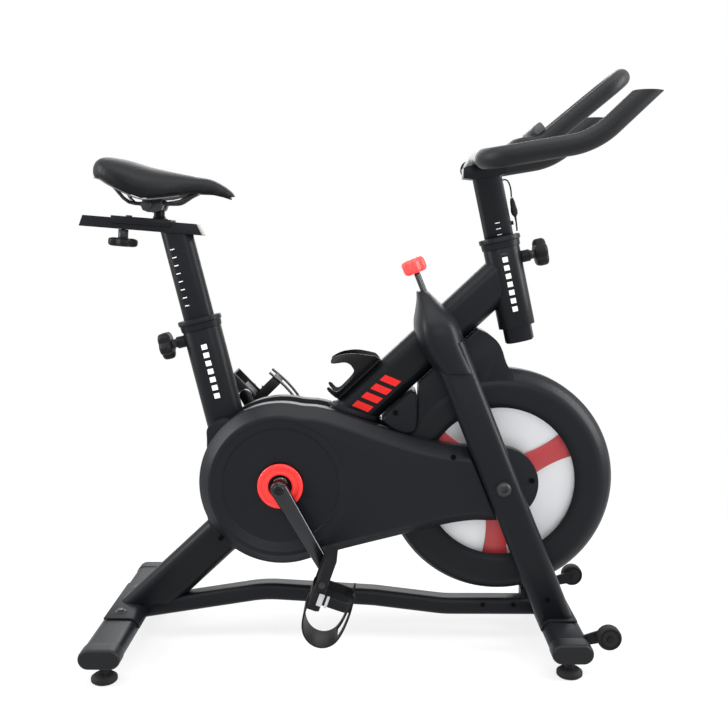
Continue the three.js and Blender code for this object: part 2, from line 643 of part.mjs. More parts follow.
// Sensor cover: a moulded box that closes the corner between the beam and the guard
const sensorHalf = 44;
const sensorLong = 68;
const sensorNeckGap = 2;
const sensorFrontX = neckRearX - sensorNeckGap;
const sensorRearX = sensorFrontX - sensorLong;
const sensorTall = 94; // from its lowest corner up to the beam, at the front
const sensorRound = 2.4;
function sensorForm(inset) {
  const top = beamUnder(sensorFrontX, touchGap);
  // Each row: shares of the length and of the height, measured from the rear and from the top
  const sensorShares = [[0.02, 0.74], [0.28, 0.9], [0.53, 1], [0.74, 1.02], [1, 0.93]];
  const under = sensorShares.map(([alongShare, downShare]) => (
    [sensorRearX + alongShare * sensorLong, top - downShare * sensorTall]));
  const rear = [sensorRearX, beamUnder(sensorRearX, touchGap)];
  const ring = [rear, ...under, [sensorFrontX, top]];
  const middle = at(sensorRearX + sensorLong / 2, 0, top - sensorTall / 2);
  return ring.map(([x, z]) => (
    [x + (middle.x - x) * inset / sensorLong, z + (middle.z - z) * inset / sensorLong]));
}
const asRing = (outline, y) => outline.map(([x, z]) => at(x, y, z));
const sensorSpace = loft([-1, 1].map((side) => (
  asRing(sensorForm(-2 * touchGap), side * (sensorHalf + touchGap)))));
const sensorHull = loft([
  asRing(sensorForm(2 * sensorRound), -sensorHalf), asRing(sensorForm(0), -sensorHalf + 2 * sensorRound),
  asRing(sensorForm(0), sensorHalf - 2 * sensorRound), asRing(sensorForm(2 * sensorRound), sensorHalf),
]);
const guardSpaceRight = revolve(dish(-touchGap, 0), wheelAxle, nearWay, guardSides);
const neckSpace = slab([[neckRearX - touchGap, 0], [neckFootX, 0], [neckFootX, headTopZ],
  [neckRearX - touchGap, headTopZ]], -guardNeckHalf - touchGap, guardNeckHalf + touchGap);
const guardSpace = join(guardSpaceRight, mirrored(guardSpaceRight), neckSpace);

// Front floor beam, with the flat arms and pins that carry the transport rollers
const rollerArm = cut(slab([
  [frontBeamX, frontBeamZ - rollerArmTall / 3], [rollerX, rollerZ - rollerArmTall * 0.6],
  [rollerX + rollerArmTall * 0.52, rollerZ - rollerArmTall * 0.3],
  [rollerX + rollerArmTall * 0.52, rollerZ + rollerArmTall * 0.3],
  [rollerX, rollerZ + rollerArmTall * 0.6], [frontBeamX, frontBeamZ + rollerArmTall / 2]],
-rollerY + rollerWide / 2 + touchGap, -rollerY + rollerWide / 2 + touchGap + rollerArmThick));
const rollerPin = crossRod(rollerX, rollerZ, -rollerY - rollerWide / 2 - rollerArmThick,
  -rollerY + rollerWide / 2 + touchGap + rollerArmThick / 2, rollerPinRadius);
const rollerCarrier = join(rollerArm, rollerPin);
add('front_stabilizer', cut(join(floorBeam(frontBeamX, frontBeamZ, frontBeamHalf), rollerCarrier,
  mirrored(rollerCarrier)), ...footHoles(frontBeamX, frontFootY, frontBeamZ)), satinBlack);

// Transport rollers
const rollerRound = 3;
const rollerForm = revolve([
  [rollerPinRadius + slideGap, -rollerWide / 2], [rollerRadius - rollerRound, -rollerWide / 2],
  [rollerRadius, -rollerWide / 2 + rollerRound], [rollerRadius, rollerWide / 2 - rollerRound],
  [rollerRadius - rollerRound, rollerWide / 2], [rollerPinRadius + slideGap, rollerWide / 2],
  [rollerPinRadius + slideGap, -rollerWide / 2]], at(rollerX, -rollerY, rollerZ), alongY, midSides);
add('transport_wheel_right', rollerForm, rubber);
add('transport_wheel_left', mirrored(rollerForm), rubber);

// Levelling feet: a rubber disc and a threaded stud that turns in the floor beam
const footSides = 12;
function foot(x, y, floorBeamZ) {
  const underside = floorBeamZ - floorBeamTall / 2;
  const top = underside + floorBeamTall / 3;
  return revolve([[0, 0], [footRadius * 0.88, 0], [footRadius, footTall * 0.15], [footRadius, footTall * 0.5],
    [footRadius * 0.8, footTall * 0.72], [footStudRadius * 1.9, footTall * 0.72],
    [footStudRadius * 1.9, underside - touchGap * 2], [footStudRadius, underside - touchGap],
    [footStudRadius, top], [0, top]], at(x, y, 0), alongZ, footSides);
}
for (const [name, side] of [['right', -1], ['left', 1]]) {
  add('rear_foot_' + name, foot(rearBeamX, side * rearFootY, rearBeamZ), rubber);
  add('front_foot_' + name, foot(frontBeamX, side * frontFootY, frontBeamZ), rubber);
}

// Drive cover: each half is a deep round housing that narrows into a nose over the wheel's hub
const coverRadius = 156;
const coverNoseRadius = 71;
const coverInnerY = 26; // from the mid-plane to the inner wall
const coverFlangeY = 51.6;
const coverFaceY = 74;
const coverBevel = 24; // how far the raised face stands in from the edge
const coverWall = 2;
const discRadius = 109;
const discDepth = 5;
const coverArcStart = 75; // degrees above level where the big arc starts, in front
const coverArcTurn = 210;
const noseArcEnd = 95;
const coverArcSides = 12;
const noseSides = 5;
// Shares of the way between the axles, and of the big radius, along the upper and the lower edge
const noseTopShares = [[0.828, 0.466], [0.68, 0.52], [0.536, 0.63], [0.45, 0.705], [0.2, 0.95]];
const noseUnderShares = [[0.232, -0.85], [0.555, -0.63], [0.82, -0.45]];
function coverOutline(inset) {
  const edge = ([spanShare, riseShare]) => [crankAxleX + spanShare * axleSpan,
    axleHeight + riseShare * coverRadius - Math.sign(riseShare) * inset];
  const arc = (x, radius, first, last, sides) => Array.from({ length: sides + 1 }, (_, i) => {
    const angle = rad(first + (last - first) * i / sides);
    return [x + (radius - inset) * Math.cos(angle), axleHeight + (radius - inset) * Math.sin(angle)];
  });
  return [...arc(crankAxleX, coverRadius, coverArcStart, coverArcStart + coverArcTurn, coverArcSides),
    ...noseUnderShares.map(edge), ...arc(wheelAxleX, coverNoseRadius, -noseArcEnd, noseArcEnd, noseSides),
    ...noseTopShares.map(edge)];
}
// Shares of the big radius for the corners of the rear flange round the seat tube's foot
const rearFlangeShares = [[-0.62, 0.84], [-0.91, 0.7], [-0.9, 0.48], [-0.96, -0.48], [-0.62, -0.87],
  [-0.3, -0.8], [0, 0]];
const rearFlangeY = 42;
const rearFlange = slab(rearFlangeShares.map(([x, z]) => (
  [crankAxleX + x * coverRadius, axleHeight + z * coverRadius])), -coverInnerY, -rearFlangeY);
// The raised face ends short of the leg
const legLine = (z, gap) => crossing(from(wheelAxle, squareTo(legWay), -legDeep / 2 - gap), legWay,
  at(0, 0, z), alongX).x;
const aheadOfLeg = (gap) => slab([
  [legLine(0, gap), 0], [legLine(seatTopZ, gap), seatTopZ], [frontBeamX + farReach, seatTopZ],
  [frontBeamX + farReach, 0]], -coverFlangeY + (gap < runGap ? coverWall : 0), -coverFaceY - overrun);
const coverOuter = join(cut(loft([
  asRing(coverOutline(0), -coverInnerY), asRing(coverOutline(0), -coverFlangeY - coverWall),
  asRing(coverOutline(coverBevel * 0.8), -coverFaceY + coverWall),
  asRing(coverOutline(coverBevel), -coverFaceY)]), aheadOfLeg(runGap)), rearFlange);
const coverDisc = crossRod(crankAxleX, axleHeight, -coverFaceY - overrun, -coverFaceY + discDepth, discRadius,
  fineSides);
const beltY = 45;
const beltWide = 6;
const cavityDeep = cut(loft([asRing(coverOutline(coverWall), -coverInnerY - coverWall),
  asRing(coverOutline(coverWall), -coverFlangeY),
  asRing(coverOutline(coverBevel * 0.8 + coverWall), -coverFaceY + discDepth + coverWall)]),
aheadOfLeg(runGap + coverWall));
const cavityNose = loft([asRing(coverOutline(coverWall), -coverInnerY - coverWall),
  asRing(coverOutline(coverWall), -coverFlangeY + coverWall)]);
const guardClear = (gap) => revolve(dish(-gap, -guardLipLong * 2), wheelAxle, nearWay, guardSides);
const crankHole = 16;
const bearingHole = 34;
const pulleyHole = 30;
const sealHole = (y0, y1, x, radius) => crossRod(x, axleHeight, y0, y1, radius, midSides);
const coverSolid = cut(coverOuter, guardClear(touchGap), coverDisc,
  cut(join(cavityDeep, cavityNose), guardClear(touchGap + coverWall)),
  sealHole(-coverFaceY - overrun, -coverInnerY - coverWall, crankAxleX, crankHole),
  sealHole(-coverInnerY - coverWall * 2, 0, crankAxleX, bearingHole),
  sealHole(-coverFlangeY - overrun, -coverFlangeY + coverWall * 2, wheelAxleX, axleRadius + slideGap),
  sealHole(-coverFlangeY + coverWall * 2, 0, wheelAxleX, pulleyHole), longBeamForm(touchGap));
add('drive_cover_right', coverSolid, coverBlack);
add('drive_cover_left', mirrored(coverSolid), coverBlack);

// Red rings round the crank's spindle on both covers
const ringOuter = 43;
const ringInner = 22.5;
const ringTall = 5;
const coverDiscY = coverFaceY - discDepth;
const ringForm = revolve([[ringInner, coverDiscY + touchGap], [ringOuter, coverDiscY + touchGap],
  [ringOuter, coverDiscY + ringTall * 0.6], [ringOuter - ringTall * 0.6, coverDiscY + ringTall],
  [ringInner, coverDiscY + ringTall], [ringInner, coverDiscY + touchGap]], crankAxle, nearWay, fineSides);
add('crank_ring_right', ringForm, redPlastic);
add('crank_ring_left', mirrored(ringForm), redPlastic);

const coverSpace = slab(coverOutline(-touchGap), -coverFaceY, coverFaceY);
add('sensor_cover', cut(sensorHull, guardSpace, longBeamForm(touchGap), coverSpace), coverBlack);

// Bottle cage: a thin plastic shell round the bottle's space, cut to a hook in the side view
const cageRadius = 34; // inside radius
const cageWall = 3.5;
const cageAhead = 102; // from the crank axle forward to the cage's foot on the beam
const cageBackX = crankAxleX + cageAhead;
const cageLong = 120;
const cageSides = 20;
const beamOver = (x, gap) => axleHeight + (x - crankAxleX) * Math.tan(rad(beamSlope))
  + (beamTall / 2 + gap) / Math.cos(rad(beamSlope));
const cageFoot = at(cageBackX, 0, beamOver(cageBackX, touchGap));
const beamUp = squareTo(beamWay).negate();
const cagePlace = (along, rise) => from(from(cageFoot, beamWay, along), beamUp, rise);
// Shares of the cage's length along the beam, and of its outer width above the beam
const cageShares = [[0.07, -0.1], [0.07, 0.44], [0.13, 0.44], [0.14, 0.16], [0.44, 0.175], [0.55, 0.22],
  [0.6, 0.31], [0.62, 0.47], [0.585, 0.61], [0.39, 0.81], [0.44, 0.9], [0.615, 0.82], [0.81, 0.58],
  [0.97, 0.24], [1, 0.17], [1, -0.1]];
const cageWide = 2 * (cageRadius + cageWall);
const cageOutline = cageShares.map(([alongShare, riseShare]) => (
  cagePlace(alongShare * cageLong, riseShare * cageWide))).map(({ x, z }) => [x, z]);
const cageRound = (radius, first, last) => bar(cagePlace(first, cageWide / 2), cagePlace(last, cageWide / 2),
  roundSection(radius, cageSides), beamUp);
const cagePad = bar(cagePlace(0, cageWall), cagePlace(cageLong, cageWall),
  boxSection(2 * cageWall, cageRadius, cageWall / 2), beamUp);
add('bottle_cage', cut(join(cageRound(cageRadius + cageWall, 0, cageLong), cagePad)
  .intersect(slab(cageOutline, -cageWide, cageWide)), cageRound(cageRadius, -overrun, cageLong + overrun),
longBeamForm(touchGap)), softBlack);

// Beam collar: a two-step plastic ring where the beam leaves the drive cover
const collarThick = 4;
const collarTall = 11;
const collarBand = (height) => cut(slab(coverOutline(-height), -coverFlangeY, coverFlangeY),
  slab(coverOutline(-touchGap), -coverFlangeY - overrun, coverFlangeY + overrun));
const collarStep = (thick, height) => bar(crankAxle, beamFront, beamSection(thick), squareTo(beamWay))
  .intersect(collarBand(height));
const collarForm = join(collarStep(collarThick, collarTall), collarStep(collarThick * 2, collarTall / 2));
add('beam_collar', cut(collarForm, longBeamForm(touchGap), sensorSpace,
  cageRound(cageWide / 2 + touchGap, 0, cageLong)), coverBlack);

// Bottom bracket: the bearing sleeve in the beam, and its two flanges
const spindleRadius = 9;
const bracketFlange = 28;
const bracketHalf = coverInnerY + coverWall;
const bearingRadius = boreOf(spindleRadius + touchGap, midSides);
add('bottom_bracket', revolve([
  [bearingRadius, -bracketHalf], [bracketFlange, -bracketHalf], [bracketFlange, -beamWide / 2 - touchGap],
  [bracketRadius, -beamWide / 2 - touchGap], [bracketRadius, beamWide / 2 + touchGap],
  [bracketFlange, beamWide / 2 + touchGap], [bracketFlange, bracketHalf], [bearingRadius, bracketHalf],
  [bearingRadius, -bracketHalf]], crankAxle, alongY, midSides), steel);

// Crank spindle with its belt pulley
const pulleyRadius = 98;
const hubPulleyRadius = 26;
const pulleyRimDeep = 9;
const pulleyWebHalf = 1.5;
const crankInnerY = 80;
const pulleySides = 20;
const spindle = crossRod(crankAxleX, axleHeight, -crankInnerY + touchGap, crankInnerY - touchGap,
  spindleRadius, midSides);
const pulleyForm = revolve([
  [0, beltY - pulleyWebHalf * 2.5], [spindleRadius * 2, beltY - pulleyWebHalf * 2.5],
  [spindleRadius * 2, beltY - pulleyWebHalf], [pulleyRadius - pulleyRimDeep, beltY - pulleyWebHalf],
  [pulleyRadius - pulleyRimDeep, beltY - beltWide / 2], [pulleyRadius, beltY - beltWide / 2],
  [pulleyRadius, beltY + beltWide / 2], [pulleyRadius - pulleyRimDeep, beltY + beltWide / 2],
  [pulleyRadius - pulleyRimDeep, beltY + pulleyWebHalf], [spindleRadius * 2, beltY + pulleyWebHalf],
  [spindleRadius * 2, beltY + pulleyWebHalf * 2.5], [0, beltY + pulleyWebHalf * 2.5]],
crankAxle, nearWay, pulleySides);
add('crank_spindle', join(spindle, pulleyForm), steel);

// Drive belt: one flat loop round both pulleys
const beltThick = 3;
function beltLoop(grow) {
  const big = boreOf(pulleyRadius + touchGap, pulleySides) + grow;
  const small = boreOf(hubPulleyRadius + touchGap, smallSides) + grow;
  const lean = Math.asin((big - small) / axleSpan);
  const arc = (x, radius, first, last, sides) => Array.from({ length: sides + 1 }, (_, i) => {
    const angle = first + (last - first) * i / sides;
    return [x + radius * Math.cos(angle), axleHeight + radius * Math.sin(angle)];
  });
  return [...arc(crankAxleX, big, quarterTurn - lean, 3 * quarterTurn + lean, coverArcSides),
    ...arc(wheelAxleX, small, lean - quarterTurn, quarterTurn - lean, noseSides)];
}
const beltFaces = [-beltY - beltWide / 2, -beltY + beltWide / 2];
add('drive_belt', cut(slab(beltLoop(beltThick), ...beltFaces),
  slab(beltLoop(0), beltFaces[0] - overrun, beltFaces[1] + overrun)), rubber);

// Cranks: forged tapered arms, each with the axle that carries its pedal
const crankLength = 170;
const crankDrop = 60.4; // degrees below level at rest
const crankBoss = 16;
const crankEye = 12;
const crankThick = 16;
const crankBossTall = 24;
const pedalAxleRadius = 6.5;
const pedalInnerY = 112;
const pedalWide = 84;
const crankWay = slopeWay(-crankDrop);
const pedalPoint = from(crankAxle, crankWay, crankLength);
const farPedalPoint = from(crankAxle, crankWay, -crankLength);
function armOutline(end, bossRadius, eyeRadius) {
  const way = end.clone().sub(crankAxle).normalize();
  const heading = Math.atan2(way.z, way.x);
  const half = (centre, radius, first) => Array.from({ length: noseSides + 1 }, (_, i) => {
    const angle = heading + first + Math.PI * i / noseSides;
    return [centre.x + radius * Math.cos(angle), centre.z + radius * Math.sin(angle)];
  });
  return [...half(crankAxle, bossRadius, quarterTurn), ...half(end, eyeRadius, -quarterTurn)];
}
function crankArm(end) {
  const face = crankInnerY + crankBossTall * 0.2;
  const body = loft([
    asRing(armOutline(end, crankBoss * 0.93, crankEye * 0.9), -face),
    asRing(armOutline(end, crankBoss, crankEye), -face - crankThick * 0.15),
    asRing(armOutline(end, crankBoss, crankEye), -face - crankThick * 0.8),
    asRing(armOutline(end, crankBoss * 0.8, crankEye * 0.75), -face - crankThick)]);
  const boss = revolve([[0, crankInnerY], [crankBoss, crankInnerY], [crankBoss, face + overrun],
    [crankBoss * 0.62, face + crankThick], [crankBoss * 0.62, crankInnerY + crankBossTall],
    [0, crankInnerY + crankBossTall]], crankAxle, nearWay, midSides);
  const axle = crossRod(end.x, end.z, -pedalInnerY - pedalWide, -face - crankThick / 2, pedalAxleRadius);
  const shoulder = crossRod(end.x, end.z, -pedalInnerY + touchGap, -face - crankThick / 2,
    pedalAxleRadius * 1.5);
  return join(body, boss, axle, shoulder);
}
add('crank_arm_right', crankArm(pedalPoint), steel);
add('crank_arm_left', mirrored(crankArm(farPedalPoint)), steel);

// Pedals: a caged platform on the axle, a moulded toe cup in front and a strap through both
const pedalLong = 96;
const pedalThick = 22;
const pedalBarrel = 11.5;
const pedalPlate = 7;
const toeReach = 66; // from the platform's front edge to the tip of the toe cup
const toeTall = 62;
const toeWall = 3;
const toeWide = 74;
const strapWide = 22;
const strapThick = 2;
const pedalWindowLong = (pedalLong - 2 * pedalBarrel) / 2 - pedalPlate;
// A point of the pedal: along to the toe, across from the inner end and up from the axle
function pedalForms(centre, toeAngle) {
  const toe = slopeWay(toeAngle);
  const up = at(-toe.z, 0, toe.x);
  const place = (along, across, rise) => from(from(at(centre.x, -pedalInnerY - across, centre.z), toe, along),
    up, rise);
  const cuboid = (a0, a1, b0, b1, c0, c1, corner = touchGap) => bar(place(a0, (b0 + b1) / 2, (c0 + c1) / 2),
    place(a1, (b0 + b1) / 2, (c0 + c1) / 2), boxSection(b1 - b0, c1 - c0, corner, 2), alongY);
  const half = pedalLong / 2;
  const platform = cuboid(-half, half, 0, pedalWide, -pedalThick / 2, pedalThick / 2, pedalThick / 5);
  const barrel = bar(place(0, 0, 0), place(0, pedalWide, 0), roundSection(pedalBarrel, smallSides), alongX);
  const windows = [-1, 1].map((side) => {
    const near = side * (pedalBarrel + pedalPlate / 2);
    const far = near + side * pedalWindowLong;
    return cuboid(Math.min(near, far), Math.max(near, far), pedalPlate, pedalWide - pedalPlate, -pedalThick,
      pedalThick);
  });
  const waist = [-1, 1].map((side) => cuboid(-half + pedalPlate * 1.5, half - pedalPlate * 1.5,
    pedalPlate * 1.5, pedalWide - pedalPlate * 1.5, side * pedalThick / 2 - pedalThick / 6,
    side * pedalThick / 2 + pedalThick / 6));
  const bore = bar(place(0, -overrun, 0), place(0, pedalWide + overrun, 0),
    roundSection(pedalAxleRadius + slideGap, smallSides), alongX);
  const pedal = cut(join(platform, barrel), ...windows, ...waist, bore);

  // Side view of the toe cup: shares of its reach and of its height, from its seat to its open top
  const toeShares = [[0, -0.2], [0.45, -0.18], [0.8, -0.02], [1, 0.28], [1, 0.62], [0.8, 0.9], [0.45, 1.02],
    [-0.15, 1.06], [-0.75, 1]];
  const middle = pedalWide / 2;
  const outline = toeShares.map(([reachShare, riseShare]) => (
    place(half + touchGap + toeWall / 2 + reachShare * (toeReach - toeWall), middle, riseShare * toeTall)));
  const flatSection = (thick, wide) => [[1, 1], [-1, 1], [-1, -1], [1, -1]].map(([a, b]) => (
    [a * thick / 2, b * wide / 2]));
  const strip = (corners, thick, wide) => {
    const rings = corners.map((corner, i) => {
      const before = corners[Math.max(i - 1, 0)];
      const after = corners[Math.min(i + 1, corners.length - 1)];
      const way = after.clone().sub(before).normalize();
      return ringAt(corner, squareTo(way), alongY, flatSection(thick, wide));
    });
    return loft(rings);
  };
  const cup = strip(outline, toeWall, toeWide);
  const slot = cuboid(-half, half * 1.9, middle - toeWide * 0.28, middle + toeWide * 0.28, toeTall * 0.7,
    toeTall * 1.3);
  const seat = strip([place(half + touchGap + toeWall / 2, middle, -toeTall * 0.2 - toeWall / 2),
    place(half + touchGap + toeWall / 2, middle, pedalThick * 0.3)], toeWall, toeWide);
  const strapLow = -pedalThick / 2 - strapThick - touchGap;
  const strapTop = toeTall * 1.04;
  const strapMiddle = half * 0.52;
  const strapHoop = cut(cuboid(strapMiddle - strapWide / 2, strapMiddle + strapWide / 2,
    -strapThick - touchGap, pedalWide + strapThick + touchGap, strapLow, strapTop, strapThick),
  cuboid(strapMiddle - strapWide, strapMiddle + strapWide, -touchGap, pedalWide + touchGap,
    -pedalThick / 2 - touchGap, strapTop - strapThick));
  const pedalSpace = cuboid(-half - touchGap, half + touchGap, -touchGap, pedalWide + touchGap,
    -pedalThick / 2 - touchGap, pedalThick / 2 + touchGap, touchGap / 3);
  return { pedal, toeCup: cut(join(cut(cup, slot), seat, strapHoop), pedalSpace) };
}
const pedalRest = -109.5; // degrees of the toe at rest, hanging under its own cup
const farPedalRest = -46;
const nearPedal = pedalForms(pedalPoint, pedalRest);
const farPedal = pedalForms(farPedalPoint, farPedalRest);
add('pedal_right', nearPedal.pedal, softBlack);
add('toe_cage_right', nearPedal.toeCup, softBlack);
add('pedal_left', mirrored(farPedal.pedal), softBlack);
add('toe_cage_left', mirrored(farPedal.toeCup), softBlack);

// Flywheel: a cast disc with a thick rim
const wheelSinkRadius = 189; // the flat face inside the rim
const wheelFaceHalf = 10.5;
const wheelRound = 2;
const hubRadius = 30;
add('flywheel', revolve([
  [hubRadius + touchGap, -wheelFaceHalf], [wheelSinkRadius - 2 * wheelRound, -wheelFaceHalf],
  [wheelSinkRadius, -rimHalf], [wheelRadius - wheelRound, -rimHalf], [wheelRadius, -rimHalf + wheelRound],
  [wheelRadius, rimHalf - wheelRound], [wheelRadius - wheelRound, rimHalf], [wheelSinkRadius, rimHalf],
  [wheelSinkRadius - 2 * wheelRound, wheelFaceHalf], [hubRadius + touchGap, wheelFaceHalf],
  [hubRadius + touchGap, -wheelFaceHalf]], wheelAxle, nearWay, fineSides), castGrey);

// Spider: the hub through the disc, with three flared spokes on each face and the belt's small pulley
const spiderThick = 4;
const spokeWide = 38;
const spokeCount = 3;
const spokeTurn = 28; // degrees of the first spoke at rest
const sleeveRadius = 17;
const spokeReach = wheelSinkRadius - 3 * wheelRound;
// Shares: along a spoke from the hub to the rim, and of its half width
const spokeShares = [[0.16, 1.9], [0.3, 1.25], [0.5, 1], [0.72, 1.1], [0.9, 1.55], [0.98, 1.9]];
function spokeOutline(angle) {
  const way = [Math.cos(angle), Math.sin(angle)];
  const side = (sign) => spokeShares.map(([alongShare, wideShare]) => {
    const [along, across] = [alongShare * spokeReach, sign * wideShare * spokeWide / 2];
    return [wheelAxleX + along * way[0] - across * way[1], axleHeight + along * way[1] + across * way[0]];
  });
  return [...side(-1), ...side(1).reverse()];
}
const spokeAngles = Array.from({ length: spokeCount }, (_, i) => rad(spokeTurn) + fullTurn * i / spokeCount);
const starInner = wheelFaceHalf + touchGap;
const starOuter = starInner + spiderThick;
const star = join(...spokeAngles.map((angle) => slab(spokeOutline(angle), -starInner, -starOuter)),
  crossRod(wheelAxleX, axleHeight, -starOuter, -starInner, hubRadius * 1.6, midSides));
const hubForm = revolve([
  [axleRadius + slideGap, -beltY - beltWide / 2], [hubPulleyRadius, -beltY - beltWide / 2],
  [hubPulleyRadius, -beltY + beltWide / 2], [sleeveRadius, -beltY + beltWide / 2],
  [sleeveRadius, -starOuter - overrun], [hubRadius, -starOuter - overrun], [hubRadius, starOuter + overrun],
  [sleeveRadius, starOuter + overrun], [sleeveRadius, beltY], [axleRadius + slideGap, beltY],
  [axleRadius + slideGap, -beltY - beltWide / 2]], wheelAxle, alongY, midSides);
const axleClear = crossRod(wheelAxleX, axleHeight, -coverFaceY, coverFaceY, axleRadius + slideGap, midSides);
add('flywheel_spider', cut(join(hubForm, star, mirrored(star)), axleClear), spokeRed);

// Flywheel axle: a bolt through both legs, with domed nuts outside
const nutRadius = 14;
const nutTall = 9;
const nutSeat = legInner + legWide + touchGap;
const axleProfile = [[0, -nutSeat - nutTall], [nutRadius * 0.55, -nutSeat - nutTall * 0.85],
  [nutRadius * 0.95, -nutSeat - nutTall * 0.4], [nutRadius, -nutSeat], [axleRadius, -nutSeat]];
add('flywheel_axle', revolve([...axleProfile, ...axleProfile.map(([r, y]) => [r, -y]).reverse()],
  wheelAxle, alongY, midSides), steel);

// Brake: a spring-loaded rod through the beam, with a felt block over the wheel's rim and a red knob
const brakePadGap = 11; // at rest, between the block and the rim
const brakePadTall = 14;
const brakePadLong = 44;
const brakeKnobRadius = 24;
const brakeKnobTall = 28;
const brakeFoot = wheelRadius + brakePadGap;
add('brake_rod', join(rod(brakeLine(brakeFoot + brakePadTall / 2), brakeLine(brakeKnobFoot - touchGap),
  brakeRodRadius), bar(brakeLine(brakeFoot), brakeLine(brakeFoot + brakePadTall),
  boxSection(brakePadLong, 2 * rimHalf - overrun, overrun), squareTo(legWay))), steel);
function roundKnob(foot, way, radius, tall, lobes, lobeShare) {
  // Shares: of the knob's height and of its radius
  const knobShares = [[0, 0.8], [0.14, 1], [0.84, 0.97], [1, 0.78]];
  const side = way.y === 0 ? squareTo(way) : alongX;
  const across = way.clone().cross(side);
  return loft(knobShares.map(([tallShare, radiusShare]) => {
    const centre = from(foot, way, tallShare * tall);
    const sides = lobes * 4;
    return ringAt(centre, side, across, Array.from({ length: sides }, (_, i) => {
      const angle = fullTurn * i / sides;
      const reach = radius * radiusShare * (1 - lobeShare * (1 + Math.cos(lobes * angle)) / 2);
      return [reach * Math.cos(angle), reach * Math.sin(angle)];
    }));
  }));
}
add('brake_knob', roundKnob(brakeLine(brakeKnobFoot), brakeLineWay, brakeKnobRadius, brakeKnobTall, 6, 0.06),
  redPlastic);

// Seat post with the rail that carries the saddle
const railHigh = 20.5;
const railAcross = 42;
const seatRailRise = 174; // from the seat tube's mouth up to the rail
const seatRailZ = seatTopZ + seatRailRise;
const seatRailBehind = 38; // from the tube's mouth back to the rail's middle over the post
const seatRailX = seatTopX - seatRailBehind;
const railRearReach = 178.5;
const railRearX = seatRailX - railRearReach;
const railFrontReach = 44.5;
const railFrontX = seatRailX + railFrontReach;
const seatRailSlope = -4.6;
const railEndSlant = 6;
const seatRailWay = slopeWay(seatRailSlope);
const seatRailUp = squareTo(seatRailWay).negate();
const seatRailMiddle = at(seatRailX, 0, seatRailZ);
const railPlace = (x, rise) => from(from(seatRailMiddle, seatRailWay, x - seatRailX), seatRailUp, rise);
const inSide = (points) => points.map(({ x, z }) => [x, z]);
const seatPostTop = crossing(seatMouth, seatWay, seatRailMiddle, seatRailWay);
const postGap = 4; // how far the post's top reaches into the rail
const seatPostHead = from(seatPostTop, seatWay, -railHigh / 2 + postGap);
const slotInset = 23.5; // from the rail's rear end to its slot
const slotLong = 96;
const slotRearX = railRearX + slotInset;
const slotFrontX = slotRearX + slotLong;
const clampScrewRadius = 4;
const seatRail = slab(inSide([railPlace(railRearX - railEndSlant / 2, -railHigh / 2),
  railPlace(railFrontX + railEndSlant, -railHigh / 2), railPlace(railFrontX - railEndSlant, railHigh / 2),
  railPlace(railRearX + railEndSlant / 2, railHigh / 2)]), -railAcross / 2, railAcross / 2);
const railSlot = bar(railPlace(slotRearX, 0), railPlace(slotFrontX, 0),
  boxSection(2 * railHigh, 2 * (clampScrewRadius + slideGap), slideGap, 1), seatRailUp);
const seatPostForm = bar(from(seatPostHead, seatWay, -seatPostLength), seatPostHead,
  ovalSection(seatPostDeep, seatPostWide), squareTo(seatWay));
add('seat_post', join(cut(seatRail, railSlot), seatPostForm), satinBlack);

// Seat carriage: a bent channel over the rail, with the round stem that the saddle's clamp takes
const carriageBehind = 121; // from the rail's middle over the post back to the carriage's rear edge
const carriageLong = 112;
const carriageRearX = seatRailX - carriageBehind;
const carriageFrontX = carriageRearX + carriageLong;
const carriageWall = 3.2;
const carriageSkirt = 11; // how far its sides reach down the rail
const stemBehind = 35;
const stemX = seatRailX - stemBehind;
const stemRadius = 10.5;
const stemFlare = 16;
const tiltBehindStem = 13; // from the stem back to the saddle's tilting bolt
const tiltX = stemX - tiltBehindStem;
const tiltRise = 42; // above the rail's middle
const tiltZ = seatRailZ + tiltRise;
const tiltBoltRadius = 5;
const tiltEyeRadius = 12.5;
const tiltEyeHalf = 10;
const carriageTop = railHigh / 2 + slideGap + carriageWall;
const carriageSide = railAcross / 2 + slideGap + carriageWall;
const channel = cut(bar(railPlace(carriageRearX, carriageTop - carriageWall / 2 - carriageSkirt / 2),
  railPlace(carriageFrontX, carriageTop - carriageWall / 2 - carriageSkirt / 2),
  boxSection(carriageSkirt + carriageWall, 2 * carriageSide, carriageWall * 0.8), seatRailUp),
bar(railPlace(carriageRearX - overrun, 0), railPlace(carriageFrontX + overrun, 0),
  boxSection(railHigh + 2 * slideGap, railAcross + 2 * slideGap, slideGap, 1), seatRailUp));
const stemFoot = railPlace(stemX, carriageTop - carriageWall / 2);
const stem = revolve([[0, 0], [stemFlare, 0], [stemFlare, carriageWall / 2], [stemFlare * 0.8, carriageWall],
  [stemRadius, carriageWall * 2.6], [stemRadius, tiltZ - stemFoot.z], [0, tiltZ - stemFoot.z]],
stemFoot, alongZ, midSides);
const tiltEye = crossRod(tiltX, tiltZ, -tiltEyeHalf, tiltEyeHalf, tiltEyeRadius, midSides);
const tiltBridge = block(tiltX, stemX, -tiltEyeHalf, tiltEyeHalf, tiltZ - tiltEyeRadius, tiltZ);
add('seat_carriage', cut(join(channel, stem, tiltEye, tiltBridge),
  crossRod(tiltX, tiltZ, -railAcross, railAcross, tiltBoltRadius + slideGap)), satinBlack);

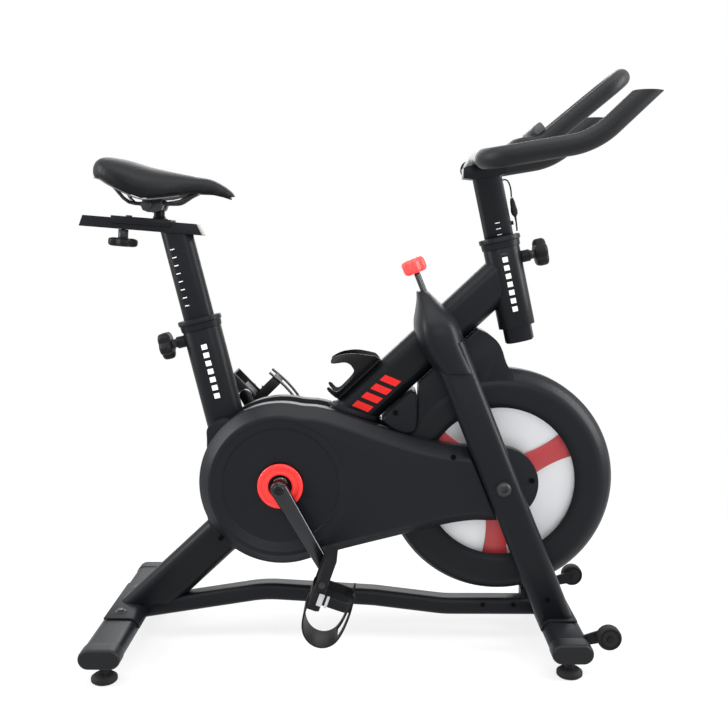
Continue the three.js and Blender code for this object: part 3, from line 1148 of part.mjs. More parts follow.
// Knobs: a lobed head, a stem and the pin or screw behind it
const knobRadius = 27;
const knobTall = 24;
const knobLobes = 5;
const knobLobeShare = 0.1;
const knobStem = 9;
function popKnob(pin, way, tubeDeep, postDeep) {
  const bossEnd = tubeDeep / 2 + pinBossLong;
  const headStart = bossEnd + touchGap + knobStem;
  return join(rod(from(pin, way, postDeep / 2 + touchGap), from(pin, way, headStart + overrun), pinRadius),
    rod(from(pin, way, bossEnd + touchGap), from(pin, way, headStart + overrun), pinRadius * 1.9, midSides),
    roundKnob(from(pin, way, headStart), way, knobRadius, knobTall, knobLobes, knobLobeShare));
}
add('seat_knob', popKnob(seatPin, seatOut, seatTubeDeep, seatPostDeep), softBlack);
add('bar_knob', popKnob(headPin, headOut, headTubeDeep, barPostDeep), softBlack);
const sliderKnobBehind = 102;
const sliderKnobX = seatRailX - sliderKnobBehind;
const sliderKnobRadius = 28;
const sliderKnobTall = 16;
const sliderStemRadius = 9.5;
const sliderStemLong = 16;
const sliderDown = seatRailUp.clone().negate();
const sliderStart = railPlace(sliderKnobX, -railHigh / 2 - slideGap);
const sliderScrewTop = railPlace(sliderKnobX, railHigh / 2 + slideGap - touchGap);
const stemEnd = from(sliderStart, sliderDown, sliderStemLong);
add('slider_knob', join(rod(sliderScrewTop, stemEnd, clampScrewRadius),
  rod(sliderStart, from(stemEnd, sliderDown, overrun), sliderStemRadius, midSides),
  roundKnob(stemEnd, sliderDown, sliderKnobRadius, sliderKnobTall, knobLobes, knobLobeShare)), softBlack);

// Saddle rails: one bent wire under the shell, from both rear sockets to the nose
const wireRadius = 3.5;
const wireHalf = 22;
const wireOverTilt = 3;
const wireZ = tiltZ + wireOverTilt;
const wireSides = 6;
const wireBends = [12, 24, 24, 12];
const saddleTailReach = 101; // from the tilting bolt back to the saddle's tail
const saddleTailX = tiltX - saddleTailReach;
const saddleLong = 259;
const saddleNoseX = saddleTailX + saddleLong;
const saddleOverWire = 4;
const saddleLowZ = wireZ + saddleOverWire;
const saddleTall = 84;
const saddleHalf = 95;
const shellThick = 4.5;
const archShare = 0.42; // how far the saddle's underside rises in the middle, of its height there
// Shares: of the length from the tail, half width, height of the top and of the lower edge
const saddleShares = [
  [0, 0.3, 0.67, 0.52], [0.03, 0.62, 0.9, 0.49], [0.08, 0.83, 0.99, 0.45], [0.16, 0.95, 0.975, 0.32],
  [0.27, 1, 0.9, 0.15], [0.38, 0.95, 0.78, 0.02], [0.5, 0.76, 0.685, 0.04], [0.62, 0.53, 0.615, 0.1],
  [0.73, 0.38, 0.56, 0.15], [0.83, 0.31, 0.515, 0.13], [0.91, 0.27, 0.4, 0.085], [0.97, 0.2, 0.2, 0.06],
  [1, 0.09, 0.11, 0.05]];
const saddleStations = saddleShares.map(([alongShare, halfShare, topShare, lowShare]) => ({
  x: saddleTailX + alongShare * saddleLong,
  half: halfShare * saddleHalf,
  top: saddleLowZ + topShare * saddleTall,
  low: saddleLowZ + lowShare * saddleTall,
}));
const underside = ({ half, top, low }, across) => (
  low + archShare * (top - low) * Math.max(1 - (across / half) ** 2, 0));
const rounded = (value, power) => Math.sign(value) * Math.abs(value) ** (2 / power);
const crownSteps = 10;
const archSteps = 6;
const saddleSquareness = 2.5;
const lipShare = 0.93; // half width of the lower edge, of the saddle's half width
function cushionRing(station) {
  const waist = station.low + 0.3 * (station.top - station.low);
  const over = Array.from({ length: crownSteps + 1 }, (_, i) => {
    const angle = Math.PI * i / crownSteps;
    return at(station.x, station.half * rounded(Math.cos(angle), saddleSquareness),
      waist + (station.top - waist) * rounded(Math.sin(angle), saddleSquareness));
  });
  const under = Array.from({ length: archSteps + 1 }, (_, i) => {
    const across = station.half * lipShare * (2 * i / archSteps - 1);
    return at(station.x, across, underside(station, across));
  });
  return [...over, ...under];
}
add('saddle_cushion', loft(saddleStations.map(cushionRing)), saddleBlack);
const shellInset = 7;
const shellGap = 1;
function shellRing(station) {
  const half = Math.max(station.half * lipShare - shellInset, shellInset / 2);
  const line = (drop) => Array.from({ length: archSteps + 1 }, (_, i) => {
    const across = half * (2 * i / archSteps - 1);
    return at(station.x, across, underside(station, across) - drop);
  });
  return [...line(shellGap), ...line(shellGap + shellThick).reverse()];
}
add('saddle_base', loft(saddleStations.slice(1, -1).map(shellRing)), coverBlack);
// Each row: places of the wire from the tail to the nose, as shares of the saddle's length and half
// width, and its height as a share of the way from the clamp to the shell above
const wireShares = [[0.13, 0.48, 0.98], [0.17, 0.44, 0.7], [0.24, 0.23, 0], [0.59, 0.23, 0],
  [0.68, 0.16, 0.72], [0.73, 0.13, 0.98]];
const shellOver = (x, y) => {
  const next = saddleStations.findIndex((station) => station.x > x);
  const [a, b] = [saddleStations[next - 1], saddleStations[next]];
  const share = (x - a.x) / (b.x - a.x);
  const blend = (key) => a[key] + (b[key] - a[key]) * share;
  return underside({ half: blend('half'), top: blend('top'), low: blend('low') }, y) - shellGap - touchGap
    - shellThick - wireRadius;
};
const wirePlaces = wireShares.map(([alongShare, halfShare, riseShare]) => {
  const x = saddleTailX + alongShare * saddleLong;
  const y = halfShare * saddleHalf;
  return at(x, -y, wireZ + riseShare * (shellOver(x, y) - wireZ));
});
const wire = sweep(bentRun(wirePlaces, wireBends), roundSection(wireRadius, wireSides), alongY);
const wireNose = wirePlaces[wirePlaces.length - 1];
const noseTie = (y) => bar(wireNose, shifted(wireNose, y), roundSection(wireRadius, wireSides), alongX);
add('saddle_rails', join(wire, noseTie(touchGap), mirrored(join(wire, noseTie(0)))), steel);

// Saddle clamp: two cheeks beside the carriage's eye, gripping the wires, on one cross bolt
const cheekInner = stemRadius + slideGap;
const cheekOuter = wireHalf + wireRadius + touchGap + 3 * slideGap;
const cheekTall = 26;
const cheekLong = 42;
const cheekAhead = 6; // from the tilting bolt forward to the cheek's middle
const cheekX = tiltX + cheekAhead;
const clampHalf = 34;
const clampHeadRadius = 8;
const secondBoltAhead = 17;
const secondBoltX = tiltX + secondBoltAhead;
const secondBoltRadius = 5;
const wireBore = bar(at(saddleTailX, -wireHalf, wireZ), at(saddleNoseX, -wireHalf, wireZ),
  roundSection(boreOf(wireRadius + touchGap, smallSides), smallSides), alongZ);
const cheek = bar(at(cheekX, -cheekInner, tiltZ), at(cheekX, -cheekOuter, tiltZ),
  ovalSection(cheekLong, cheekTall), alongX);
const clampSide = join(cheek, crossRod(tiltX, tiltZ, -clampHalf, -cheekOuter + touchGap, clampHeadRadius),
  crossRod(secondBoltX, tiltZ, -clampHalf + overrun, -cheekOuter + touchGap, secondBoltRadius));
add('saddle_clamp', cut(join(clampSide, mirrored(clampSide),
  crossRod(tiltX, tiltZ, -cheekOuter, cheekOuter, tiltBoltRadius)), wireBore, mirrored(wireBore)), steel);

// Handlebar post: an oval tube through the head tube, with the channel that carries both bars
const barPostTop = crossing(headMouth, headWay, at(0, 0, barPostTopZ + barPostWide / 2), alongX);
const barPostFoot = from(headFoot, headWay, -barPostTail);
const barPostForm = bar(barPostFoot, barPostTop, ovalSection(barPostDeep, barPostWide), squareTo(headWay));
const postPlug = bar(from(barPostFoot, headWay, -overrun / 2), from(barPostFoot, headWay, overrun),
  ovalSection(barPostDeep - overrun, barPostWide - overrun), squareTo(headWay));
const channelHalf = 22;
const crossBarBehind = 45; // from the head tube's mouth back to the outer bar's crossbar
const crossBarX = headTopX - crossBarBehind;
const crossBarRise = 41.5; // from the post's top up to the crossbar
const crossBarZ = barPostTopZ + crossBarRise;
const barTubeRadius = 14;
const loopRearAhead = 69; // from the crossbar forward to the loop's rear
const loopRearX = crossBarX + loopRearAhead;
const loopRearRise = 16.5;
const loopRearZ = crossBarZ + loopRearRise;
const loopRadius = 16;
const channelThick = 21;
const channelLong = 144;
const channelBehind = 26;
const channelRearX = crossBarX - channelBehind;
const channelFrontX = channelRearX + channelLong;
const channelSheet = 5;
const barSeatZ = crossBarZ - barTubeRadius - touchGap;
const loopSeatZ = loopRearZ - loopRadius - touchGap;
const channelForm = slab([
  [channelRearX, barSeatZ - channelThick * 1.1],
  [crossBarX - barTubeRadius * 0.6, barSeatZ - channelThick * 1.2],
  [barPostTop.x + barPostDeep * 0.6, barSeatZ - channelThick * 0.75],
  [loopRearX - loopRadius * 0.7, loopSeatZ - channelThick], [loopRearX - loopRadius * 0.7,
    loopSeatZ - channelSheet * 1.6], [channelFrontX - channelSheet * 3, loopSeatZ - channelSheet],
  [channelFrontX - channelSheet * 2, loopSeatZ], [channelFrontX, loopSeatZ],
  [channelFrontX, loopSeatZ + channelSheet], [loopRearX - loopRadius, loopSeatZ],
  [crossBarX + barTubeRadius, barSeatZ], [crossBarX - barTubeRadius * 1.2, barSeatZ],
  [channelRearX, barSeatZ - channelThick * 0.2]], -channelHalf, channelHalf);
const pegDrop = 40; // from the post's top down to the small stop peg in front
const pegPlace = from(headMouth, headWay, sleeveLip + pegDrop / 2);
const pegRadius = 4;
const stopPeg = rod(from(pegPlace, headOut, barPostDeep / 2 - pegRadius),
  from(pegPlace, headOut, barPostDeep / 2 + pegRadius), pegRadius);

// Outer bar: a bare crossbar, swept forward and up at both ends, with foam grips
const gripHalf = 193; // from the mid-plane to a grip's centre line
const gripFootDrop = 15.5; // from the crossbar's middle down to its ends
const gripFootZ = crossBarZ - gripFootDrop;
const gripKneeAhead = 176;
const gripKneeX = crossBarX + gripKneeAhead;
const gripKneeRise = 13.5;
const gripKneeZ = crossBarZ + gripKneeRise;
const gripSlope = 43.5;
const gripTipRise = 95.5; // both tips are cut level
const gripTipZ = crossBarZ + gripTipRise;
const gripRadius = 18;
const elbowBend = 50;
const kneeBend = 130;
const gripFoamStart = 140;
const barSides = 10;
const gripKnee = at(gripKneeX, -gripHalf, gripKneeZ);
const gripTip = from(gripKnee, slopeWay(gripSlope), gripTipZ - gripKneeZ + gripHalf);
const barCorners = (start) => [start, at(crossBarX, -gripHalf, gripFootZ), gripKnee, gripTip];
const crossLine = (y) => at(crossBarX, y, crossBarZ + (gripFootZ - crossBarZ) * Math.abs(y) / gripHalf);
const level = block(0, frontBeamX * 2, -farReach, farReach, gripTipZ, gripTipZ * 1.5);
const halfBar = (start, radius) => cut(sweep(bentRun(barCorners(start), [elbowBend, kneeBend]),
  roundSection(radius, barSides), alongZ), level);
const tipPlug = 6;
const lowerLevel = block(0, frontBeamX * 2, -farReach, farReach, gripTipZ - tipPlug, gripTipZ * 1.5);
const barHalfForm = cut(halfBar(crossLine(0), barTubeRadius), lowerLevel);
const barHalfLong = cut(halfBar(crossLine(touchGap), barTubeRadius), lowerLevel);
add('outer_bar', join(barHalfLong, mirrored(barHalfForm)), satinBlack);
const gripForm = cut(halfBar(crossLine(-gripFoamStart), gripRadius), cut(halfBar(
  crossLine(-gripFoamStart / 2), barTubeRadius + touchGap), block(0, frontBeamX * 2, -farReach, farReach,
  gripTipZ - tipPlug + touchGap, gripTipZ * 1.5)));
add('grip_right', gripForm, softBlack);
add('grip_left', mirrored(gripForm), softBlack);

// Inner loop: a closed padded ring between the grips, rising forward
const loopHalf = 55;
const loopKneeAhead = 43; // from the loop's rear forward to its knee
const loopKneeX = loopRearX + loopKneeAhead;
const loopKneeRise = 6;
const loopKneeZ = loopRearZ + loopKneeRise;
const loopArmLong = 148; // from the knee forward to the tip
const loopTipX = loopKneeX + loopArmLong;
const loopArmRise = 121.5;
const loopTipZ = loopKneeZ + loopArmRise;
const loopBend = 26;
const loopKneeBend = 30;
const loopNoseBend = 46;
const loopCorners = (y) => [at(loopRearX, y, loopRearZ), at(loopRearX, -loopHalf, loopRearZ),
  at(loopKneeX, -loopHalf, loopKneeZ), at(loopTipX, -loopHalf, loopTipZ), at(loopTipX, y, loopTipZ)];
const loopBends = [loopBend, loopKneeBend, loopNoseBend];
const loopHalfForm = (y, radius) => sweep(bentRun(loopCorners(y), loopBends),
  roundSection(radius, barSides), alongZ);
add('inner_loop', join(loopHalfForm(touchGap, loopRadius), mirrored(loopHalfForm(0, loopRadius))), softBlack);

// The post's channel is cut to both bars, which rest in it
const bothSides = (form) => join(form, mirrored(form));
const loopClear = bothSides(loopHalfForm(touchGap, loopRadius + touchGap));
const crossBarClear = bothSides(halfBar(crossLine(touchGap), barTubeRadius + touchGap));
add('bar_post', cut(join(barPostForm, postPlug, channelForm, stopPeg), loopClear, crossBarClear), satinBlack);

// Display ledge: a short bar across the loop's two arms
const ledgeLong = 20;
const ledgeTall = 17;
const ledgeShare = 0.07; // place along the loop's rising arms
const ledgeHalf = 62;
const loopKnee = at(loopKneeX, 0, loopKneeZ);
const armWay = at(loopTipX, 0, loopTipZ).sub(loopKnee).normalize();
const ledgeFoot = from(loopKnee, armWay, ledgeShare * loopArmLong);
const ledgeMiddle = from(ledgeFoot, squareTo(armWay).negate(), loopRadius + touchGap + ledgeTall / 2);
const ledgeBar = bar(shifted(ledgeMiddle, -ledgeHalf), shifted(ledgeMiddle, ledgeHalf),
  boxSection(ledgeLong, ledgeTall, overrun), armWay);
add('display_ledge', cut(ledgeBar, loopClear), castGrey);

// Sensor cable: out of the post's face in a short bow to its plug over the head sleeve
const cableRadius = 1.6;
const cableSides = 6;
const cableSteps = 9;
const cableDrop = 4; // from the post's top down to where the cable leaves it
const plugDrop = 36; // from there down to the plug
const plugOut = 9.8; // from the post's face to the plug's middle
const cablePlace = (drop, out) => from(from(from(crossing(headMouth, headWay,
  at(0, 0, barPostTopZ - cableDrop), alongX), headWay, -drop), headOut, barPostDeep / 2), headOut, out);
// Shares: of the way down to the plug, and of its distance from the post's face
const cableShares = [[0, 0.4], [0.09, 0.88], [0.33, 1.13], [0.64, 1.15], [0.89, 1.03]];
const cableRoute = [cablePlace(0, touchGap),
  ...cableShares.map(([dropShare, outShare]) => cablePlace(dropShare * plugDrop, outShare * plugOut)),
  cablePlace(plugDrop - 3 * touchGap, plugOut)];
add('sensor_cable', sweep(new THREE.CatmullRomCurve3(cableRoute).getPoints(cableSteps),
  roundSection(cableRadius, cableSides), alongY), rubber);

// Cable connector: a moulded plug, with the lower wire down to the sleeve's lip
const plugRadius = 6.6;
const plugFall = barPostOut - cableDrop - plugDrop - sleeveLip; // from its top down to the sleeve's lip
// Shares: of the way down to the lip, of the plug's place out from the post and of its radius
const plugShares = [[0, 1, 0.4], [0.12, 1, 0.7], [0.27, 1, 0.82], [0.38, 1, 1], [0.48, 1, 0.9],
  [0.57, 1, 0.33], [0.72, 0.97, 0.24], [0.92, 0.86, 0.24], [0.985, 0.8, 0.24]];
add('cable_connector', loft(plugShares.map(([fallShare, outShare, radiusShare]) => (
  ringAt(cablePlace(plugDrop + fallShare * plugFall, outShare * plugOut), headOut, alongY,
    roundSection(radiusShare * plugRadius, cableSides))))), rubber);

export default bike;
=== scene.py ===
"""Indoor spin bike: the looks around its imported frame. Metres in Blender, millimetres in the sizes here."""
import json
import math

import bmesh
import bpy
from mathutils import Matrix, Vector

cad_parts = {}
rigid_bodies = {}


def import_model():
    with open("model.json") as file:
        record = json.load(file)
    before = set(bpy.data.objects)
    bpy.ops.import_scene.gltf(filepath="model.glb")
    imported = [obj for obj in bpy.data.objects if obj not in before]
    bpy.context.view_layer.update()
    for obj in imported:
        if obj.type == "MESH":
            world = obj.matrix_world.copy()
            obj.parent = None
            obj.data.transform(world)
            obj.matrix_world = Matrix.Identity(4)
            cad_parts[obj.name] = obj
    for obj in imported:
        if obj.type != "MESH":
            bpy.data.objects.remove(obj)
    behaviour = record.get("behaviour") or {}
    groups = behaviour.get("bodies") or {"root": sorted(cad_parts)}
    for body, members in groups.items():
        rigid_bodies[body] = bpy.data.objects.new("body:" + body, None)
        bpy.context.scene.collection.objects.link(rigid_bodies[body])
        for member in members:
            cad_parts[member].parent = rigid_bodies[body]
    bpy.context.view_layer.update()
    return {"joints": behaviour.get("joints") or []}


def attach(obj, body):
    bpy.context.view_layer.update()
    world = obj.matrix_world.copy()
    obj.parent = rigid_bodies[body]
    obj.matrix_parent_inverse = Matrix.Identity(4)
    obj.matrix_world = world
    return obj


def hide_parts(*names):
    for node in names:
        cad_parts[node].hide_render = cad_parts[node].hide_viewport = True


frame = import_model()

# Studio: a pale floor, a white surround and soft lamps overhead, at both sides, in front and behind.
# The camera stands to the rider's right, a little below the saddle's height, looking slightly down.
MM = 0.001
CAMERA_PLACE = (0.0307, -1.873, 0.789)
CAMERA_PITCH = 7.36  # degrees below level
CAMERA_YAW = 0.41
CAMERA_LENS = 48.61
SENSOR_WIDE = 36
SURROUND_LIGHT = 0.5
WHITE = (1, 1, 1, 1)
FLOOR_SIZE = 14
FLOOR_COLOUR = (0.86, 0.86, 0.86, 1)
FLOOR_FADE = {"From Min": 0.55, "From Max": 1.5, "To Min": 0.72, "To Max": 1.0}  # metres, share of plain white
LAMPS = (
    ("overhead lamp", (0.1, -0.5, 2.6), (2.6, 1.6), 44),
    ("right lamp", (2.1, -0.35, 1.4), (0.8, 1.7), 68),
    ("left lamp", (-2.1, -0.45, 1.4), (0.8, 1.7), 52),
    ("front lamp", (0.4, -3.0, 1.9), (1.6, 1.0), 22),
    ("back lamp", (0.0, 2.2, 1.6), (2.2, 1.4), 34),
)


def placed(name, data):
    """An object of its data, linked to the scene."""
    made = bpy.data.objects.new(name, data)
    bpy.context.scene.collection.objects.link(made)
    return made


def fed(tree, made, inputs):
    """Gives each input of a node a value or another node's output."""
    for key, value in dict(inputs).items():
        if isinstance(value, bpy.types.NodeSocket):
            tree.links.new(value, made.inputs[key])
        else:
            made.inputs[key].default_value = value
    return made


def node(tree, kind, inputs=(), **settings):
    made = tree.nodes.new(kind)
    for key, value in settings.items():
        setattr(made, key, value)
    return fed(tree, made, inputs)


def maths(tree, operation, *values):
    return node(tree, "ShaderNodeMath", enumerate(values), operation=operation).outputs[0]


def new_camera():
    data = bpy.data.cameras.new("photo camera")
    data.lens = CAMERA_LENS
    data.sensor_width = SENSOR_WIDE
    camera = placed("photo camera", data)
    camera.location = CAMERA_PLACE
    camera.rotation_euler = (math.radians(90 - CAMERA_PITCH), 0, math.radians(CAMERA_YAW))
    bpy.context.scene.camera = camera


def new_lamp(name, place, size, power):
    data = bpy.data.lights.new(name, "AREA")
    data.shape = "RECTANGLE"
    data.size, data.size_y = size
    data.energy = power
    lamp = placed(name, data)
    lamp.location = place
    towards = Vector((0, 0, 0.5)) - Vector(place)
    lamp.rotation_euler = towards.to_track_quat("-Z", "Y").to_euler()


def seen_directly(tree):
    """1 for rays from the camera, off gloss and through glass, else 0."""
    path = node(tree, "ShaderNodeLightPath").outputs
    either = maths(tree, "MAXIMUM", path["Is Camera Ray"], path["Is Glossy Ray"])
    return maths(tree, "MAXIMUM", either, path["Is Transmission Ray"])


def new_surround():
    world = bpy.data.worlds.new("white surround")
    world.use_nodes = True
    tree = world.node_tree
    tree.nodes.clear()
    soft, plain = (node(tree, "ShaderNodeBackground", {"Color": WHITE, "Strength": strength}).outputs[0]
                   for strength in (SURROUND_LIGHT, 1))
    blend = node(tree, "ShaderNodeMixShader", {0: seen_directly(tree), 1: soft, 2: plain})
    node(tree, "ShaderNodeOutputWorld", {"Surface": blend.outputs[0]})
    bpy.context.scene.world = world


def new_floor():
    half = FLOOR_SIZE / 2
    mesh = bpy.data.meshes.new("studio floor")
    mesh.from_pydata([(-half, -half, 0), (half, -half, 0), (half, half, 0), (-half, half, 0)], [], [(0, 1, 2, 3)])
    material = bpy.data.materials.new("pale floor")
    material.use_nodes = True
    tree = material.node_tree
    shader = fed(tree, tree.nodes["Principled BSDF"], {
        "Base Color": FLOOR_COLOUR, "Roughness": 0.9, "Specular IOR Level": 0.1})
    place = node(tree, "ShaderNodeTexCoord").outputs["Object"]
    distance = node(tree, "ShaderNodeVectorMath", {0: place}, operation="LENGTH").outputs["Value"]
    far = node(tree, "ShaderNodeMapRange", {"Value": distance, **FLOOR_FADE}, interpolation_type="SMOOTHSTEP")
    share = maths(tree, "MULTIPLY", seen_directly(tree), far.outputs["Result"])
    glow = node(tree, "ShaderNodeEmission", {"Color": WHITE})
    blend = node(tree, "ShaderNodeMixShader", {0: share, 1: shader.outputs[0], 2: glow.outputs[0]})
    fed(tree, tree.nodes["Material Output"], {"Surface": blend.outputs[0]})
    mesh.materials.append(material)
    placed("studio floor", mesh)


new_camera()
new_surround()
new_floor()
for lamp_values in LAMPS:
    new_lamp(*lamp_values)
bpy.context.scene.view_settings.view_transform = "Standard"

# Floor beams: two flat-oval steel tubes across the floor, powder coated satin black, each end closed by
# a moulded cap with a small step. The front one carries two flat arms for the transport rollers.
joint_named = {joint["name"]: joint for joint in frame["joints"]}
WHEEL_AXLE_X = 260
BOX_SHIFT = joint_named["flywheel_spin"]["pos_m"][0] / MM - WHEEL_AXLE_X
AXLE_HEIGHT = joint_named["flywheel_spin"]["pos_m"][2] / MM
REAR_BEAM_X = -463.98
FRONT_BEAM_X = 373
FLOOR_BEAM_DEEP = 75
FLOOR_BEAM_TALL = 37
REAR_BEAM_HALF = 240
FRONT_BEAM_HALF = 207
REAR_BEAM_Z = 54.5
FRONT_BEAM_Z = 52
CAP_LONG = 34
CAP_STEP = 1.6
CAP_ROUND = 7
ROLLER_X = 444
ROLLER_Y = 168
ROLLER_Z = 70
ROLLER_WIDE = 20
ARM_THICK = 5
ARM_TALL = 22
ALONG_X = Vector((1, 0, 0))
ALONG_Y = Vector((0, 1, 0))
ALONG_Z = Vector((0, 0, 1))
TOUCH_GAP = 0.3
EMBED = 3  # how far a welded or clipped part reaches into its neighbour, out of sight


def oval(length, width, steps=20):
    """A flat oval: pairs along two directions."""
    radius = min(length, width) / 2
    shift = abs(length - width) / 2
    points = []
    for end in (1, -1):
        for i in range(steps + 1):
            angle = math.pi * (i / steps - 0.5 * end)
            a, b = end * shift + radius * math.cos(angle), radius * math.sin(angle)
            points.append((a, b) if length >= width else (-b, a))
    return points


def circle(radius, sides=32):
    turns = [math.tau * i / sides for i in range(sides)]
    return [(radius * math.cos(turn), radius * math.sin(turn)) for turn in turns]


def rounded_box(length, width, corner, steps=6):
    points = []
    for index, (sign_a, sign_b) in enumerate(((1, 1), (-1, 1), (-1, -1), (1, -1))):
        for i in range(steps + 1):
            angle = math.pi / 2 * (index + i / steps)
            points.append((sign_a * (length / 2 - corner) + corner * math.cos(angle),
                           sign_b * (width / 2 - corner) + corner * math.sin(angle)))
    return points


def ring_at(centre, first, second, section):
    return [centre + first * a + second * b for a, b in section]


def skin(rings, looped=False):
    """Corners and faces of a skin through rings of equally many points, capped unless it is looped."""
    count = len(rings[0])
    corners = [point for ring in rings for point in ring]
    faces = []
    last = len(rings) if looped else len(rings) - 1
    for r in range(last):
        after = (r + 1) % len(rings)
        for i in range(count):
            following = (i + 1) % count
            faces.append((r * count + i, r * count + following, after * count + following, after * count + i))
    if not looped:
        faces.append(tuple(range(count))[::-1])
        faces.append(tuple(range((len(rings) - 1) * count, len(rings) * count)))
    return corners, faces


def merged(*shapes):
    corners, faces = [], []
    for points, polygons in shapes:
        start = len(corners)
        corners.extend(points)
        faces.extend(tuple(start + i for i in polygon) for polygon in polygons)
    return corners, faces


def flipped(shape):
    """The same shape on the other side of the bike."""
    corners, faces = shape
    return [Vector((p.x, -p.y, p.z)) for p in corners], [face[::-1] for face in faces]


def square_to(way, side):
    """Two directions square to a way, the first of them nearest to side."""
    first = (side - way * side.dot(way)).normalized()
    return first, way.cross(first)


def bar(start, end, section, side):
    first, second = square_to((end - start).normalized(), side)
    return skin([ring_at(point, first, second, section) for point in (start, end)])


def slab(outline, y0, y1):
    """A side view outline of (x, z) corners, solid from y0 to y1."""
    return skin([[Vector((x, y, z)) for x, z in outline] for y in (y0, y1)])


def mesh_of(name, shape):
    corners, faces = shape
    mesh = bpy.data.meshes.new(name)
    mesh.from_pydata([((p.x + BOX_SHIFT) * MM, p.y * MM, p.z * MM) for p in corners], [], faces)
    shaped = bmesh.new()
    shaped.from_mesh(mesh)
    bmesh.ops.remove_doubles(shaped, verts=shaped.verts, dist=MM * 0.002)
    bmesh.ops.dissolve_degenerate(shaped, edges=shaped.edges, dist=MM * 0.002)
    bmesh.ops.recalc_face_normals(shaped, faces=shaped.faces)
    shaped.to_mesh(mesh)
    shaped.free()
    return mesh


def worked_in(made):
    """Gives an object the mesh that its modifiers make."""
    bpy.context.view_layer.update()
    mesh = bpy.data.meshes.new_from_object(made.evaluated_get(bpy.context.evaluated_depsgraph_get()))
    made.modifiers.clear()
    made.data = mesh


def handed_over(made, body, slot, nodes=(), bevel=0.0, segments=2, angle=34):
    """Wears an object's sharp edges, shades it by angle, hands it to its body and hides its nodes; the slot is not
    used.
    """
    if bevel:
        worn = made.modifiers.new("worn edge", "BEVEL")
        worn.width = bevel * MM
        worn.segments = segments
        worn.limit_method = "ANGLE"
        worn.angle_limit = math.radians(angle)
        worked_in(made)
    shaped = bmesh.new()
    shaped.from_mesh(made.data)
    for face in shaped.faces:
        face.smooth = True
    for edge in shaped.edges:
        edge.smooth = len(edge.link_faces) == 2 and edge.calc_face_angle(0) < math.radians(angle)
    shaped.to_mesh(made.data)
    shaped.free()
    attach(made, body)
    if nodes:
        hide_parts(*nodes)


def piece(name, shape, material, body="frame", slot="frame_paint", nodes=(), **finish):
    """A finished piece of a shape, riding on a body."""
    mesh = mesh_of(name, shape)
    mesh.materials.append(material)
    handed_over(placed(name, mesh), body, slot, nodes, **finish)


def carved(shape, *tools, operation="DIFFERENCE"):
    """A closed shape cut by closed tools, or what it shares with them."""
    whole = placed("blank", mesh_of("blank", shape))
    cutters = [placed("cutter", mesh_of("cutter", tool)) for tool in tools]
    for cutter in cutters:
        cut = whole.modifiers.new("cut", "BOOLEAN")
        cut.operation = operation
        cut.solver = "EXACT"
        cut.object = cutter
    worked_in(whole)
    corners = [Vector((v.co.x / MM - BOX_SHIFT, v.co.y / MM, v.co.z / MM)) for v in whole.data.vertices]
    faces = [tuple(polygon.vertices) for polygon in whole.data.polygons]
    for used in (whole, *cutters):
        bpy.data.objects.remove(used)
    return corners, faces


def new_group(name, inputs, outputs, kind="ShaderNodeTree"):
    """A node group with its named sockets, and the outputs of its input node."""
    group = bpy.data.node_groups.new(name, kind)
    for way, sockets in (("INPUT", inputs), ("OUTPUT", outputs)):
        for title, socket_kind in sockets:
            group.interface.new_socket(name=title, in_out=way, socket_type="NodeSocket" + socket_kind)
    return group, node(group, "NodeGroupInput").outputs


def blended(tree, share, under, over):
    mix = node(tree, "ShaderNodeMix", {"Factor": share, "A": under, "B": over}, data_type="RGBA")
    return mix.outputs["Result"]


def grain_group():
    """Fine grain: a height for bump, and a roughness that wanders a little over the surface."""
    group, given = new_group("fine grain", (("Scale", "Float"), ("Roughness", "Float"), ("Spread", "Float")),
                             (("Height", "Float"), ("Surface Roughness", "Float")))
    place = node(group, "ShaderNodeTexCoord").outputs["Object"]
    fine = node(group, "ShaderNodeTexNoise", {"Vector": place, "Scale": given["Scale"], "Detail": 3})
    broad = node(group, "ShaderNodeTexNoise", {"Vector": place, "Scale": 14, "Detail": 5})
    centred = maths(group, "SUBTRACT", broad.outputs["Fac"], 0.5)
    wandering = maths(group, "MULTIPLY_ADD", centred, given["Spread"], given["Roughness"])
    node(group, "NodeGroupOutput", {"Height": fine.outputs["Fac"], "Surface Roughness": wandering})
    return group


def dust_group():
    """A faint lighter bloom on faces that look up, broken by noise, over a base colour."""
    group, given = new_group("settled dust", (("Base", "Color"), ("Amount", "Float")), (("Color", "Color"),))
    place = node(group, "ShaderNodeTexCoord").outputs["Object"]
    cloud = node(group, "ShaderNodeTexNoise", {"Vector": place, "Scale": 9, "Detail": 6})
    facing = node(group, "ShaderNodeSeparateXYZ", {0: node(group, "ShaderNodeNewGeometry").outputs["Normal"]})
    upward = node(group, "ShaderNodeMapRange", {"Value": facing.outputs["Z"], "From Min": -0.2})
    mask = maths(group, "MULTIPLY", cloud.outputs["Fac"], upward.outputs["Result"])
    share = maths(group, "MULTIPLY", mask, given["Amount"])
    node(group, "NodeGroupOutput", {"Color": blended(group, share, given["Base"], DUST_COLOUR)})
    return group


DUST_COLOUR = (0.12, 0.12, 0.125, 1)
GRAIN = grain_group()
DUST = dust_group()
BUMP_DISTANCE = 0.0002


